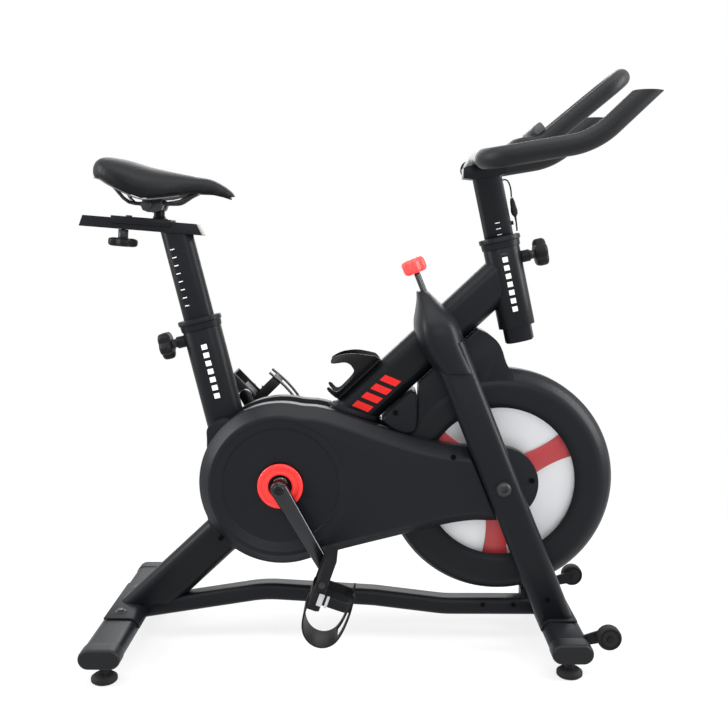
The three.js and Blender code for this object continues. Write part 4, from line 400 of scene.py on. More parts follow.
def coated(name, colour, rough, grain_scale, bump, dust=0.12, spread=0.06, metal=0.0, gloss=0.5, sheen=0.0):
    """A material with fine grain, wandering roughness and a trace of dust."""
    material = bpy.data.materials.new(name)
    material.use_nodes = True
    tree = material.node_tree
    grain = node(tree, "ShaderNodeGroup", {"Scale": grain_scale, "Roughness": rough, "Spread": spread},
                 node_tree=GRAIN).outputs
    dusty = node(tree, "ShaderNodeGroup", {"Base": (*colour, 1), "Amount": dust}, node_tree=DUST)
    raised = node(tree, "ShaderNodeBump", {"Strength": bump, "Distance": BUMP_DISTANCE, "Height": grain["Height"]})
    fed(tree, tree.nodes["Principled BSDF"], {
        "Metallic": metal, "Specular IOR Level": gloss, "Sheen Weight": sheen,
        "Roughness": grain["Surface Roughness"], "Base Color": dusty.outputs["Color"],
        "Normal": raised.outputs["Normal"]})
    return material


powder_coat = coated("satin black powder coat", (0.0058, 0.0066, 0.0084), 0.38, 1500, 0.3, dust=0.03, gloss=0.13)
cap_plastic = coated("black cap moulding", (0.0055, 0.006, 0.007), 0.46, 700, 0.3, dust=0.05, gloss=0.2)


def beam_rings(x, z, half):
    """The tube between the caps, and the two caps, of a floor beam."""
    tube = bar(Vector((x, -half + CAP_LONG - EMBED, z)), Vector((x, half - CAP_LONG + EMBED, z)),
               oval(FLOOR_BEAM_DEEP - 2 * CAP_STEP, FLOOR_BEAM_TALL - 2 * CAP_STEP), ALONG_X)
    caps = []
    for side in (-1, 1):
        rows = [(half - CAP_LONG - CAP_STEP, CAP_STEP), (half - CAP_LONG - CAP_STEP / 2, 0.3),
                (half - CAP_LONG + CAP_STEP, 0)]
        for i in range(7):
            turn = math.pi / 2 * i / 6
            rows.append((half - CAP_ROUND * (1 - math.sin(turn)), CAP_ROUND * 0.6 * (1 - math.cos(turn))))
        caps.append(skin([ring_at(Vector((x, side * y, z)), ALONG_X, ALONG_Z,
                                  oval(FLOOR_BEAM_DEEP - 2 * inset, FLOOR_BEAM_TALL - 2 * inset))
                          for y, inset in rows]))
    return tube, merged(*caps)


rear_tube, rear_caps = beam_rings(REAR_BEAM_X, REAR_BEAM_Z, REAR_BEAM_HALF)
piece("rear_floor_beam", rear_tube, powder_coat, nodes=["rear_stabilizer"])
piece("rear_floor_beam_caps", rear_caps, cap_plastic)
front_tube, front_caps = beam_rings(FRONT_BEAM_X, FRONT_BEAM_Z, FRONT_BEAM_HALF)
piece("front_floor_beam_caps", front_caps, cap_plastic)


def roller_arm():
    """A flat arm from the front beam with a rounded end, and the pin through the roller."""
    inner = -ROLLER_Y + ROLLER_WIDE / 2 + TOUCH_GAP
    end = [(ROLLER_X + ARM_TALL * 0.6 * math.cos(a), ROLLER_Z + ARM_TALL * 0.6 * math.sin(a))
           for a in (math.pi / 2 - math.pi * i / 16 for i in range(17))]
    plate = slab([*end, (FRONT_BEAM_X, FRONT_BEAM_Z - ARM_TALL / 3), (FRONT_BEAM_X, FRONT_BEAM_Z + ARM_TALL / 3)],
                 inner, inner + ARM_THICK)
    pin = bar(Vector((ROLLER_X, -ROLLER_Y - ROLLER_WIDE / 2 - ARM_THICK * 0.8, ROLLER_Z)),
              Vector((ROLLER_X, inner + ARM_THICK * 1.4, ROLLER_Z)), circle(5), ALONG_X)
    return merged(plate, pin)


arm = roller_arm()
piece("front_floor_beam", merged(front_tube, arm, flipped(arm)), powder_coat, nodes=["front_stabilizer"],
      bevel=0.6)

# Saddle plates: bent steel sheet laid over the middle of each floor beam, welded to the frame above and
# held down by two hex bolts on washers.
PLATE_THICK = 3.2
REAR_PLATE_HALF = 96
FRONT_PLATE_HALF = 98


def saddle_plate(x, z, half, inward):
    """Bent sheet over a floor beam: flat on top, turned down on the inward side."""
    deep = FLOOR_BEAM_DEEP / 2 - CAP_STEP + TOUCH_GAP
    tall = FLOOR_BEAM_TALL / 2 - CAP_STEP + TOUCH_GAP
    flat = deep - tall
    outer_edge = -(FLOOR_BEAM_DEEP - FLOOR_BEAM_TALL) * 0.75

    def line(grow):
        points = [(outer_edge, tall + grow), (flat, tall + grow)]
        for i in range(1, 13):
            turn = math.pi / 2 * i / 12
            points.append((flat + (tall + grow) * math.sin(turn), (tall + grow) * math.cos(turn)))
        return points

    section = line(PLATE_THICK) + line(0)[::-1]
    rings = [[Vector((x + inward * a, y, z + b)) for a, b in section] for y in (-half, half)]
    return skin(rings)


def turned(centre, way, rows, sides=48, looped=False):
    """A body of revolution: rows of (distance along the way, radius)."""
    side = way.orthogonal().normalized()
    other = way.cross(side)
    rings = [ring_at(centre + way * along, side, other, circle(radius, sides)) for along, radius in rows]
    return skin(rings, looped)


def washer_bolt(centre, across=7.5, tall=5, washer=10.5):
    """An upright hex head with a chamfer on a round washer."""
    disc = turned(centre, ALONG_Z, [
        (-EMBED / 3, washer), (washer * 0.08, washer), (washer * 0.16, washer * 0.9)], 24)
    head = turned(centre, ALONG_Z, [(0, across), (tall * 0.8, across), (tall, across * 0.82)], 6)
    return merged(disc, head)


dark_bolt = coated("blackened steel bolt", (0.03, 0.031, 0.034), 0.36, 600, 0.1, dust=0.1, metal=0.6)
REAR_PLATE_TOP = REAR_BEAM_Z + FLOOR_BEAM_TALL / 2 - CAP_STEP + TOUCH_GAP + PLATE_THICK
FRONT_PLATE_TOP = REAR_PLATE_TOP - REAR_BEAM_Z + FRONT_BEAM_Z
for name, x, z, half, inward, node_name in (
        ("rear_bent_plate", REAR_BEAM_X, REAR_BEAM_Z, REAR_PLATE_HALF, 1, "rear_saddle_plate"),
        ("front_bent_plate", FRONT_BEAM_X, FRONT_BEAM_Z, FRONT_PLATE_HALF, -1, "front_saddle_plate")):
    piece(name, saddle_plate(x, z, half, inward), powder_coat, nodes=[node_name], bevel=0.8)
plate_bolts = [washer_bolt(Vector((REAR_BEAM_X - 4, y, REAR_PLATE_TOP))) for y in (-62, 62)]
plate_bolts += [washer_bolt(Vector((FRONT_BEAM_X + 8, y, FRONT_PLATE_TOP))) for y in (-30, 30)]
piece("plate_bolts", merged(*plate_bolts), dark_bolt, bevel=0.3)

# Rubber feet and transport rollers: moulded rubber discs on studs under the floor beams, and two
# rollers that turn on pins at the front.
rubber = coated("matt black rubber", (0.0075, 0.0075, 0.008), 0.68, 450, 0.5, dust=0.1, gloss=0.2)
FOOT_RADIUS = 23.5
FOOT_TALL = 20
REAR_FOOT_Y = 203
FRONT_FOOT_Y = 174
ROLLER_RADIUS = 22
SIDES = (("right", -1), ("left", 1))


def foot_shape(x, y, underside):
    r, t = FOOT_RADIUS, FOOT_TALL
    pad = turned(Vector((x, y, 0)), ALONG_Z, [
        (0, r * 0.84), (1.2, r * 0.9), (3, r * 0.985), (4, r), (t * 0.46, r), (t * 0.53, r * 0.97),
        (t * 0.66, r * 0.82), (t * 0.72, r * 0.76)])
    stud = turned(Vector((x, y, 0)), ALONG_Z, [(t * 0.6, 9.5), (underside - 1, 9.5), (underside - 0.6, 8.8)], 6)
    return merged(pad, stud)


for end, x, y, z in (("rear", REAR_BEAM_X, REAR_FOOT_Y, REAR_BEAM_Z),
                     ("front", FRONT_BEAM_X, FRONT_FOOT_Y, FRONT_BEAM_Z)):
    for side, sign in SIDES:
        piece(f"{end}_{side}_rubber_foot", foot_shape(x, sign * y, z - FLOOR_BEAM_TALL / 2), rubber,
              f"{end}_{side}_foot", "black_rubber", [f"{end}_foot_{side}"])
for side, sign in SIDES:
    half = ROLLER_WIDE / 2
    rows = [(-half, 5.6), (-half, 14), (-half * 0.8, 15), (-half * 0.8, 17.5), (-half, 18.5), (-half * 0.97, 20.4),
            (-half * 0.8, ROLLER_RADIUS - 0.5), (-half * 0.6, ROLLER_RADIUS)]
    rows += [(-along, radius) for along, radius in rows[::-1]]
    piece(f"{side}_rubber_roller", turned(Vector((ROLLER_X, sign * ROLLER_Y, ROLLER_Z)), ALONG_Y, rows,
                                          looped=True), rubber, f"{side}_roller", "black_rubber",
          ["transport_wheel_" + side])

# Welded frame: a bent bottom rail of rounded box section, and a slanted main beam, seat tube, head tube
# and fork legs of flat-oval section, all steel tube in satin black powder coat. Plain marks are printed
# on the beam and on both tubes.
SEAT_TILT = math.radians(13.5)
HEAD_TILT = math.radians(12.4)
BEAM_SLOPE = math.radians(43.1)
LEG_TILT = math.radians(22)
BEAM_TALL = 79
BEAM_WIDE = 50
RAIL_TALL = 34
RAIL_WIDE = 44
RAIL_CORNERS = ((REAR_BEAM_X, 56.3), (-195, 99), (20, 86), (157, 69), (FRONT_BEAM_X, 69))
SEAT_MOUTH = Vector((-315, 0, 632))
SEAT_TUBE = (74.5, 50)
SEAT_POST = (59, 38)
HEAD_MOUTH = Vector((255, 0, 785))
HEAD_TUBE = (69, 50)
HEAD_LONG = 168
BAR_POST = (55.4, 37)
TUBE_WALL = 3.2
PIN_RADIUS = 5
BOSS_RADIUS = 11.5
BOSS_LONG = 15
SEAT_PIN_DROP = 33
HEAD_PIN_DROP = 41
LEG_DEEP = 65
LEG_WIDE = 36
LEG_MIDDLE = 70
LEG_TOP_Z = 588.5
BRACKET_RADIUS = 21.3
ROD_RADIUS = 6


def lean(angle):
    return Vector((-math.sin(angle), 0, math.cos(angle)))


def square(way):
    """In the side view, a quarter turn forward."""
    return Vector((way.z, 0, -way.x))


def crossing(start_a, way_a, start_b, way_b):
    gap = start_b - start_a
    share = (gap.x * way_b.z - gap.z * way_b.x) / (way_a.x * way_b.z - way_a.z * way_b.x)
    return start_a + way_a * share


SEAT_WAY, HEAD_WAY, LEG_WAY = lean(SEAT_TILT), lean(HEAD_TILT), lean(LEG_TILT)
BEAM_WAY = Vector((math.cos(BEAM_SLOPE), 0, math.sin(BEAM_SLOPE)))
CRANK_AXLE = Vector((-158, 0, AXLE_HEIGHT))
WHEEL_AXLE = Vector((WHEEL_AXLE_X, 0, AXLE_HEIGHT))


def pipe(start, end, outer, inner, side):
    """An open tube of an outer and an inner section with equally many points."""
    first, second = square_to((end - start).normalized(), side)
    return skin([ring_at(place, first, second, section) for place, section in (
        (start, outer), (end, outer), (end, inner), (start, inner))], looped=True)


def box(x0, x1, y0, y1, z0, z1):
    return slab([(x0, z0), (x1, z0), (x1, z1), (x0, z1)], y0, y1)


def bent(corners, bends, steps=14):
    """Points along straight runs joined by round bends of the given radii."""
    places = [corners[0]]
    for i in range(1, len(corners) - 1):
        before = (corners[i] - corners[i - 1]).normalized()
        after = (corners[i + 1] - corners[i]).normalized()
        turn = before.angle(after)
        cut = bends[i - 1] * math.tan(turn / 2)
        start, end = corners[i] - before * cut, corners[i] + after * cut
        inward = (after - before * after.dot(before)).normalized()
        middle = start + inward * bends[i - 1]
        for s in range(steps + 1):
            angle = turn * s / steps
            places.append(middle + (before * math.sin(angle) - inward * math.cos(angle)) * bends[i - 1])
    places.append(corners[-1])
    return places


def folded(corners, section, bends):
    """A bar that follows corners in the side view round the bends between them."""
    places = bent([Vector((x, 0, z)) for x, z in corners], bends)
    rings = []
    for i, place in enumerate(places):
        before = (place - places[max(i - 1, 0)]).normalized()
        after = (places[min(i + 1, len(places) - 1)] - place).normalized()
        way = (before + after).normalized()
        stretch = 1 / way.dot(before if before.length else after)
        rings.append(ring_at(place, square(way) * stretch, ALONG_Y, section))
    return skin(rings)


def marks_group():
    """Printed marks: repeated bars inside a rectangle, laid out along and across two directions."""
    numbers = ("Start", "Length", "Middle", "Half", "Pitch", "Share", "Slant", "Side")
    group, given = new_group("printed marks", [("Along", "Vector"), ("Across", "Vector")]
                             + [(title, "Float") for title in numbers], [("Mask", "Float")])
    place = node(group, "ShaderNodeTexCoord").outputs["Object"]

    def reach(direction, origin):
        dot = node(group, "ShaderNodeVectorMath", {0: place, 1: given[direction]}, operation="DOT_PRODUCT")
        return maths(group, "SUBTRACT", dot.outputs["Value"], given[origin])

    across = reach("Across", "Middle")
    slanted = maths(group, "ADD", reach("Along", "Start"), maths(group, "MULTIPLY", across, given["Slant"]))
    cell = maths(group, "FRACT", maths(group, "DIVIDE", slanted, given["Pitch"]))
    mask = maths(group, "LESS_THAN", cell, given["Share"])
    facing = node(group, "ShaderNodeSeparateXYZ", {0: node(group, "ShaderNodeNewGeometry").outputs["Normal"]})
    outward = maths(group, "MULTIPLY", facing.outputs["Y"], given["Side"])
    for test in (maths(group, "GREATER_THAN", slanted, 0), maths(group, "LESS_THAN", slanted, given["Length"]),
                 maths(group, "LESS_THAN", maths(group, "ABSOLUTE", across), given["Half"]),
                 maths(group, "GREATER_THAN", outward, 0.2)):
        mask = maths(group, "MULTIPLY", mask, test)
    node(group, "NodeGroupOutput", {"Mask": mask})
    return group


MARKS = marks_group()


def printed(base, name, colour, origin, way, across, sizes, shape=(0.62, 0), sides=(-1,)):
    """A coat with bars printed on it in a row along a way.

    The sizes are the row's length, half a bar's width and the pitch in millimetres; the shape is a bar's
    share of the pitch and its slant; the sides are the ones of the bike that it is printed on."""
    material = base.copy()
    material.name = name
    tree = material.node_tree
    shader = tree.nodes["Principled BSDF"]
    under = shader.inputs["Base Color"].links[0].from_socket
    moved = (origin + ALONG_X * BOX_SHIFT) * MM
    length, half, pitch = (size * MM for size in sizes)
    mask = 0
    for side in sides:
        mark = node(tree, "ShaderNodeGroup", {
            "Along": way, "Across": across, "Start": moved.dot(way), "Middle": moved.dot(across), "Length": length,
            "Half": half, "Pitch": pitch, "Share": shape[0], "Slant": shape[1], "Side": side}, node_tree=MARKS)
        mask = maths(tree, "MAXIMUM", mask, mark.outputs["Mask"])
    fed(tree, shader, {"Base Color": blended(tree, mask, under, (*colour, 1))})
    return material


beam_side = -square(BEAM_WAY)
stripe_start = CRANK_AXLE + BEAM_WAY * 205
beam_coat = printed(powder_coat, "powder coat with red stripes", (0.75, 0.02, 0.018), stripe_start, BEAM_WAY,
                    beam_side, (96, 15, 24), (0.62, 0.45), (-1, 1))
beam_rear = crossing(CRANK_AXLE, BEAM_WAY, Vector((0, 0, REAR_PLATE_TOP - 60)), ALONG_X)
beam_front = crossing(CRANK_AXLE, BEAM_WAY, HEAD_MOUTH, HEAD_WAY)
head_foot = HEAD_MOUTH - HEAD_WAY * HEAD_LONG
beam_oval = oval(BEAM_TALL, BEAM_WIDE)


def rod_hole(low, high):
    """Room for the brake's rod, between two distances from the wheel's axle."""
    return bar(WHEEL_AXLE + LEG_WAY * low, WHEEL_AXLE + LEG_WAY * high, circle(ROD_RADIUS + 0.6), ALONG_X)


main_beam = carved(
    bar(beam_rear, beam_front, beam_oval, square(BEAM_WAY)),
    box(-700, CRANK_AXLE.x, -60, 60, -60, REAR_PLATE_TOP + TOUCH_GAP),
    bar(head_foot - HEAD_WAY * 80, HEAD_MOUTH + HEAD_WAY * 80, oval(HEAD_TUBE[0] - 2, HEAD_TUBE[1] + 4),
        square(HEAD_WAY)),
    bar(CRANK_AXLE - ALONG_Y * 60, CRANK_AXLE + ALONG_Y * 60, circle(BRACKET_RADIUS), ALONG_X),
    rod_hole(200, 420))
piece("slanted_main_beam", main_beam, beam_coat, nodes=["main_beam"], bevel=0.5)
rail = merged(folded(RAIL_CORNERS, rounded_box(RAIL_TALL, RAIL_WIDE, RAIL_TALL / 3), [260, 200, 260]),
              box(307, 319, -15, 15, 80, 104))
piece("bent_bottom_rail", rail, powder_coat, nodes=["bottom_rail"], bevel=0.5)


def post_tube(foot, mouth, way, size, drop, outward):
    """An open tube with the boss for its knob's pin; the pin's way is bored through."""
    inner = (size[0] - 2 * TUBE_WALL, size[1] - 2 * TUBE_WALL)
    tube = pipe(foot, mouth, oval(*size), oval(*inner), square(way))
    pin = mouth - way * drop
    start = pin + outward * (size[0] / 2 - TUBE_WALL / 2)
    end = pin + outward * (size[0] / 2 + BOSS_LONG)
    boss = pipe(start, end, circle(BOSS_RADIUS, 40), circle(PIN_RADIUS + 0.6, 40), way)
    bore = bar(pin, pin + outward * size[0], circle(PIN_RADIUS + 0.6, 24), way)
    return merged(carved(tube, bore), boss)


seat_foot = crossing(CRANK_AXLE, BEAM_WAY, SEAT_MOUTH, SEAT_WAY)
SEAT_OUT, HEAD_OUT = -square(SEAT_WAY), square(HEAD_WAY)
dash_coat = printed(powder_coat, "powder coat with plain dashes", (0.75, 0.75, 0.75),
                    SEAT_MOUTH - SEAT_WAY * 152, SEAT_WAY, square(SEAT_WAY), (112, 5.5, 16))
piece("seat_tube_with_boss", post_tube(seat_foot + SEAT_WAY * 30, SEAT_MOUTH, SEAT_WAY, SEAT_TUBE, SEAT_PIN_DROP,
                                       SEAT_OUT), dash_coat, nodes=["seat_tube"], bevel=0.5)
head_coat = printed(powder_coat, "head tube coat with dashes", (0.75, 0.75, 0.75),
                    HEAD_MOUTH - HEAD_WAY * 138, HEAD_WAY, square(HEAD_WAY), (110, 5, 15.7))
piece("head_tube_with_boss", post_tube(head_foot, HEAD_MOUTH, HEAD_WAY, HEAD_TUBE, HEAD_PIN_DROP, HEAD_OUT),
      head_coat, nodes=["head_tube"], bevel=0.5)

leg_foot = crossing(WHEEL_AXLE, LEG_WAY, Vector((0, 0, FRONT_BEAM_Z)), ALONG_X)
leg_top = crossing(WHEEL_AXLE, LEG_WAY, Vector((0, 0, LEG_TOP_Z)), ALONG_X)
leg_oval = oval(LEG_DEEP, LEG_WIDE)
stub_top = leg_top - LEG_WAY * 19
for side, sign in SIDES:
    shift = ALONG_Y * (sign * LEG_MIDDLE)
    leg = bar(leg_foot + shift, leg_top + shift, leg_oval, square(LEG_WAY))
    stub = bar(stub_top + shift, stub_top + ALONG_Y * (sign * BEAM_WIDE / 2), rounded_box(38, 38, 5), ALONG_X)
    piece(f"{side}_fork_leg", merged(leg, stub), powder_coat, nodes=[f"fork_leg_{side}"], bevel=0.5)

# Plastic sleeves: a cap of finely textured black plastic, pushed over each tube's mouth, which guides
# the post. Its lip is rounded and steps in to a thinner skirt.
cover_plastic = coated("fine textured moulding", (0.0056, 0.0068, 0.0088), 0.4, 1300, 0.45, dust=0.03, gloss=0.14)
SLEEVE_LIP = 4.8


def sleeve_shape(mouth, way, tube, post):
    """A skirt round the tube, a step out to the lip, a rounded top edge and the post's hole."""
    def outer(grow):
        return oval(tube[0] + 2 * grow, tube[1] + 2 * grow)
    rows = [(-17.2, 0.8), (-16.4, 1.8), (-5.6, 2.6), (-4.8, SLEEVE_LIP - 1.2), (-4, SLEEVE_LIP),
            (2.2, SLEEVE_LIP), (3.8, SLEEVE_LIP - 0.7), (4.8, SLEEVE_LIP - 2.4)]
    side, other = square(way), ALONG_Y
    rings = [ring_at(mouth + way * along, side, other, outer(grow)) for along, grow in rows]
    hole = oval(post[0] + 1.2, post[1] + 1.2)
    rings += [ring_at(mouth + way * 4.8, side, other, hole), ring_at(mouth - way * 17.2, side, other, hole)]
    return skin(rings, looped=True)


piece("seat_tube_sleeve", sleeve_shape(SEAT_MOUTH, SEAT_WAY, SEAT_TUBE, SEAT_POST), cover_plastic, "frame",
      "cover_plastic", ["seat_sleeve"])
piece("head_tube_sleeve", sleeve_shape(HEAD_MOUTH, HEAD_WAY, HEAD_TUBE, BAR_POST), cover_plastic, "frame",
      "cover_plastic", ["head_sleeve"])

# Wheel guard: two dished half rings moulded in black plastic that meet at the mid-plane round the wheel.
# Their neck rises between the legs and is fixed to the beam; the opening shows the wheel's pale face.
GUARD_RADIUS = 218
GUARD_HALF = 37
GUARD_WALL = 3.2
GUARD_MOUTH = 143.3
NECK_HALF = 34
NECK_REAR, NECK_FRONT, NECK_TOP, NECK_FOOT = 103, 282, 214, 71.5
NEAR = Vector((0, -1, 0))


def softened(points, times=2, closed=False, cut=0.25):
    """A line with its corners cut away, again and again."""
    for _ in range(times):
        result = [] if closed else [points[0]]
        last = len(points) if closed else len(points) - 1
        for i in range(last):
            (ax, ay), (bx, by) = points[i], points[(i + 1) % len(points)]
            result.append((ax + (bx - ax) * cut, ay + (by - ay) * cut))
            result.append((bx + (ax - bx) * cut, by + (ay - by) * cut))
        if not closed:
            result.append(points[-1])
        points = result
    return points


def guard_rows():
    """(distance from the mid-plane, radius) of the half ring's skin, outside then inside."""
    r = GUARD_RADIUS
    outside = softened([
        (0.15, r - 0.8), (1.2, r), (11.1, r), (24, r - 8.1), (33.3, r - 20.1), (GUARD_HALF, r - 30),
        (GUARD_HALF, 158), (GUARD_HALF - 1.5, 152), (31.5, 146), (29.5, GUARD_MOUTH)], 2, cut=0.16)
    inside = softened([(26.8, GUARD_MOUTH + 0.3), (29, 148), (33.8, 158), (33.8, r - 31.6), (30.8, r - 22.6),
                       (22.3, r - 11.3), (11.1, r - GUARD_WALL), (0.15, r - GUARD_WALL)], 1)
    return outside + inside


def beam_under(x, gap):
    return AXLE_HEIGHT + (x - CRANK_AXLE.x) * math.tan(BEAM_SLOPE) - (BEAM_TALL / 2 + gap) / math.cos(BEAM_SLOPE)


def neck_outline(inset, gap):
    shares = ((0, 0), (0.18, 0.02), (0.5, -0.14), (0.8, -0.1), (1, 0))
    foot, top = (NECK_FRONT, AXLE_HEIGHT + GUARD_RADIUS * 0.972), (NECK_TOP, beam_under(NECK_TOP, gap))
    run = (top[0] - foot[0], top[1] - foot[1])
    front = [(foot[0] + run[0] * (s + w) - inset, foot[1] + run[1] * (s - w)) for s, w in shares]
    front[-1] = (top[0] - inset, beam_under(top[0] - inset, gap))
    rear = NECK_REAR + inset
    return softened(front, 2) + [(rear, beam_under(rear, gap)), (rear, AXLE_HEIGHT + NECK_FOOT),
                                 (NECK_FRONT - inset, AXLE_HEIGHT + NECK_FOOT)]


FACE_START = 185  # where the neck's hollow opens the ring, measured from the axle
RIM_ROOM = ((-20, GUARD_RADIUS - 3.4), (11.1, GUARD_RADIUS - 3.4), (22.2, GUARD_RADIUS - 11.6),
            (30.6, GUARD_RADIUS - 23), (33.6, GUARD_RADIUS - 32), (33.6, FACE_START - 1), (60, FACE_START - 1))
neck_hollow = slab(neck_outline(GUARD_WALL, TOUCH_GAP + GUARD_WALL), -NECK_HALF + GUARD_WALL, 5)
below_rim = turned(WHEEL_AXLE, NEAR, [(-60, FACE_START), (60, FACE_START)], 96)
guard_ring = carved(turned(WHEEL_AXLE, NEAR, guard_rows(), 128, looped=True), carved(neck_hollow, below_rim))
guard_neck = carved(slab(neck_outline(0, TOUCH_GAP), -NECK_HALF, -0.15), neck_hollow,
                    turned(WHEEL_AXLE, NEAR, RIM_ROOM, 128), rod_hole(190, 420))
guard_half = merged(guard_ring, guard_neck)
for side, shape in (("right", guard_half), ("left", flipped(guard_half))):
    piece(f"{side}_wheel_guard", shape, cover_plastic, "frame", "cover_plastic", [f"wheel_guard_{side}"],
          bevel=1.2)

# Sensor cover: a small black plastic box that closes the corner between the beam and the guard, held by one
# screw on each side.
SENSOR_HALF = 44
SENSOR_REAR = 33
SENSOR_LONG = 68
SENSOR_TALL = 94


def sensor_outline(inset):
    front = SENSOR_REAR + SENSOR_LONG
    top = beam_under(front, TOUCH_GAP)
    shares = ((0.02, 0.74), (0.28, 0.9), (0.53, 1), (0.74, 1.02), (1, 0.93))
    ring = [(SENSOR_REAR, beam_under(SENSOR_REAR, TOUCH_GAP))]
    ring += [(SENSOR_REAR + a * SENSOR_LONG, top - d * SENSOR_TALL) for a, d in shares] + [(front, top)]
    middle_x, middle_z, share = front - SENSOR_LONG / 2, top - SENSOR_TALL / 2, inset / SENSOR_LONG
    return [(x + (middle_x - x) * share, z + (middle_z - z) * share) for x, z in ring]


sensor = skin([[Vector((x, y, z)) for x, z in softened(sensor_outline(inset), 2, True, 0.18)] for y, inset in (
    (-SENSOR_HALF, 9), (-SENSOR_HALF + 1, 5), (-SENSOR_HALF + 3, 2), (-SENSOR_HALF + 6, 0), (SENSOR_HALF - 6, 0),
    (SENSOR_HALF - 3, 2), (SENSOR_HALF - 1, 5), (SENSOR_HALF, 9))])
piece("moulded_sensor_cover", sensor, cover_plastic, "frame", "cover_plastic", ["sensor_cover"])

# Drive cover: two halves of textured black plastic, screwed to the frame. Each is a deep round housing over
# the belt that narrows into a nose over the wheel's hub, with a bevelled edge, a raised face that ends
# behind the leg and a sunk round disc.
COVER_RADIUS = 156
NOSE_RADIUS = 71
COVER_FACE = 74
COVER_FLANGE = 51.6
DISC_RADIUS = 109
DISC_DEEP = 8
AXLE_SPAN = 418
NOSE_TOP = ((0.828, 0.466), (0.68, 0.52), (0.536, 0.63), (0.45, 0.705), (0.2, 0.95))
NOSE_UNDER = ((0.232, -0.85), (0.555, -0.63), (0.82, -0.45))


def cover_outline(inset, arc_steps=60):
    def edge(span, rise):
        return (CRANK_AXLE.x + span * AXLE_SPAN, AXLE_HEIGHT + rise * COVER_RADIUS - math.copysign(inset, rise))

    def arc(x, radius, first, last, steps):
        turns = [math.radians(first + (last - first) * i / steps) for i in range(steps + 1)]
        return [(x + (radius - inset) * math.cos(t), AXLE_HEIGHT + (radius - inset) * math.sin(t)) for t in turns]
    points = arc(CRANK_AXLE.x, COVER_RADIUS, 75, 285, arc_steps) + [edge(*p) for p in NOSE_UNDER]
    points += arc(WHEEL_AXLE_X, NOSE_RADIUS, -95, 95, 20) + [edge(*p) for p in NOSE_TOP]
    return softened(points, 2, True)


def cover_rings(rows):
    return skin([[Vector((x, -y, z)) for x, z in cover_outline(inset)] for y, inset in rows])


def leg_line(z, gap):
    start = WHEEL_AXLE - square(LEG_WAY) * (LEG_DEEP / 2 + gap)
    return crossing(start, LEG_WAY, Vector((0, 0, z)), ALONG_X).x


def ahead_of_leg(gap, deep):
    """All that is ahead of the near leg's rear face by a gap, outside a depth from the mid-plane."""
    return slab([(leg_line(0, gap), 0), (leg_line(640, gap), 640), (700, 640), (700, 0)], -120, -deep)


DISC_ROWS = ((-DISC_DEEP, 0), (1.6 - DISC_DEEP, 1), (3 - DISC_DEEP, 5), (-2, 13), (-0.5, 17), (9, 26))
disc_room = turned(CRANK_AXLE, NEAR, [(COVER_FACE + out, DISC_RADIUS + wider) for out, wider in DISC_ROWS], 96)
cover_shell = cover_rings([(26, 0), (49.6, 0), (51.6, 0.5), (53.4, 1.9), (62, 10.4), (70.6, 18.8), (72.4, 20.8),
                           (73.6, 23.4), (COVER_FACE, 26.5)])
cover_room = cover_rings([(29, 3), (50, 3), (63, 20)])
seal_room = turned(CRANK_AXLE, NEAR, [(20, 34), (29.5, 34), (29.5, 16), (90, 16)], 48)
hub_room = turned(WHEEL_AXLE, NEAR, [(20, 30), (48, 30), (48, 9.1), (60, 9.1)], 48)
FLANGE = ((-0.62, 0.84), (-0.91, 0.7), (-0.9, 0.48), (-0.96, -0.48), (-0.62, -0.87), (-0.3, -0.8), (0, 0))
rear_flange = slab(softened([(CRANK_AXLE.x + x * COVER_RADIUS, AXLE_HEIGHT + z * COVER_RADIUS) for x, z in FLANGE],
                            2, True, 0.2), -42, -26)
cover_half = carved(cover_shell, ahead_of_leg(3, COVER_FLANGE), disc_room,
                    carved(cover_room, ahead_of_leg(5, COVER_FLANGE - 2)), seal_room, hub_room)
cover_coat = coated("large textured moulding", (0.0056, 0.007, 0.0092), 0.38, 1300, 0.45, dust=0.03, gloss=0.15)
cover_half = merged(cover_half, rear_flange)
for side, shape in (("right", cover_half), ("left", flipped(cover_half))):
    piece(f"{side}_drive_cover", shape, cover_coat, "frame", "cover_plastic", [f"drive_cover_{side}"], bevel=1.4,
          angle=28)

# Red rings: smooth red plastic, clipped round the spindle on both covers, with a groove in the face.
# The black collar where the beam leaves the cover is moulded in steps and clipped between the halves.
red_plastic = coated("smooth red moulding", (0.86, 0.022, 0.018), 0.32, 500, 0.05, dust=0.03, gloss=0.5)
for side, sign in SIDES:
    ring = turned(CRANK_AXLE, ALONG_Y * sign, [(69.3, 22.5), (69.3, 43), (71.6, 43), (73, 42.2), (74, 40.2),
                                              (74, 35), (73.2, 34.2), (73.2, 28), (74, 27.2), (74, 22.5)], 96,
                  looped=True)
    piece(f"{side}_red_ring", ring, red_plastic, "frame", "red_plastic", [f"crank_ring_{side}"], bevel=0.4)


def dressed(name, material, body, slot, bevel=0.6, angle=30):
    """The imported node's own form, with its flat faces cleaned, its sharp edges worn and a finish."""
    source = bpy.data.objects[name]
    mesh = source.data.copy()
    mesh.name = name + "_finished"
    mesh.transform(source.matrix_world)
    mesh.materials.clear()
    mesh.materials.append(material)
    shaped = bmesh.new()
    shaped.from_mesh(mesh)
    bmesh.ops.remove_doubles(shaped, verts=shaped.verts, dist=MM * 0.01)
    bmesh.ops.dissolve_limit(shaped, angle_limit=math.radians(1), verts=shaped.verts, edges=shaped.edges)
    bmesh.ops.recalc_face_normals(shaped, faces=shaped.faces)
    for face in shaped.faces:
        face.material_index = 0
    shaped.to_mesh(mesh)
    shaped.free()
    handed_over(placed(mesh.name, mesh), body, slot, [name], bevel, angle=angle)


dressed("beam_collar", cover_plastic, "frame", "cover_plastic", bevel=0.8)

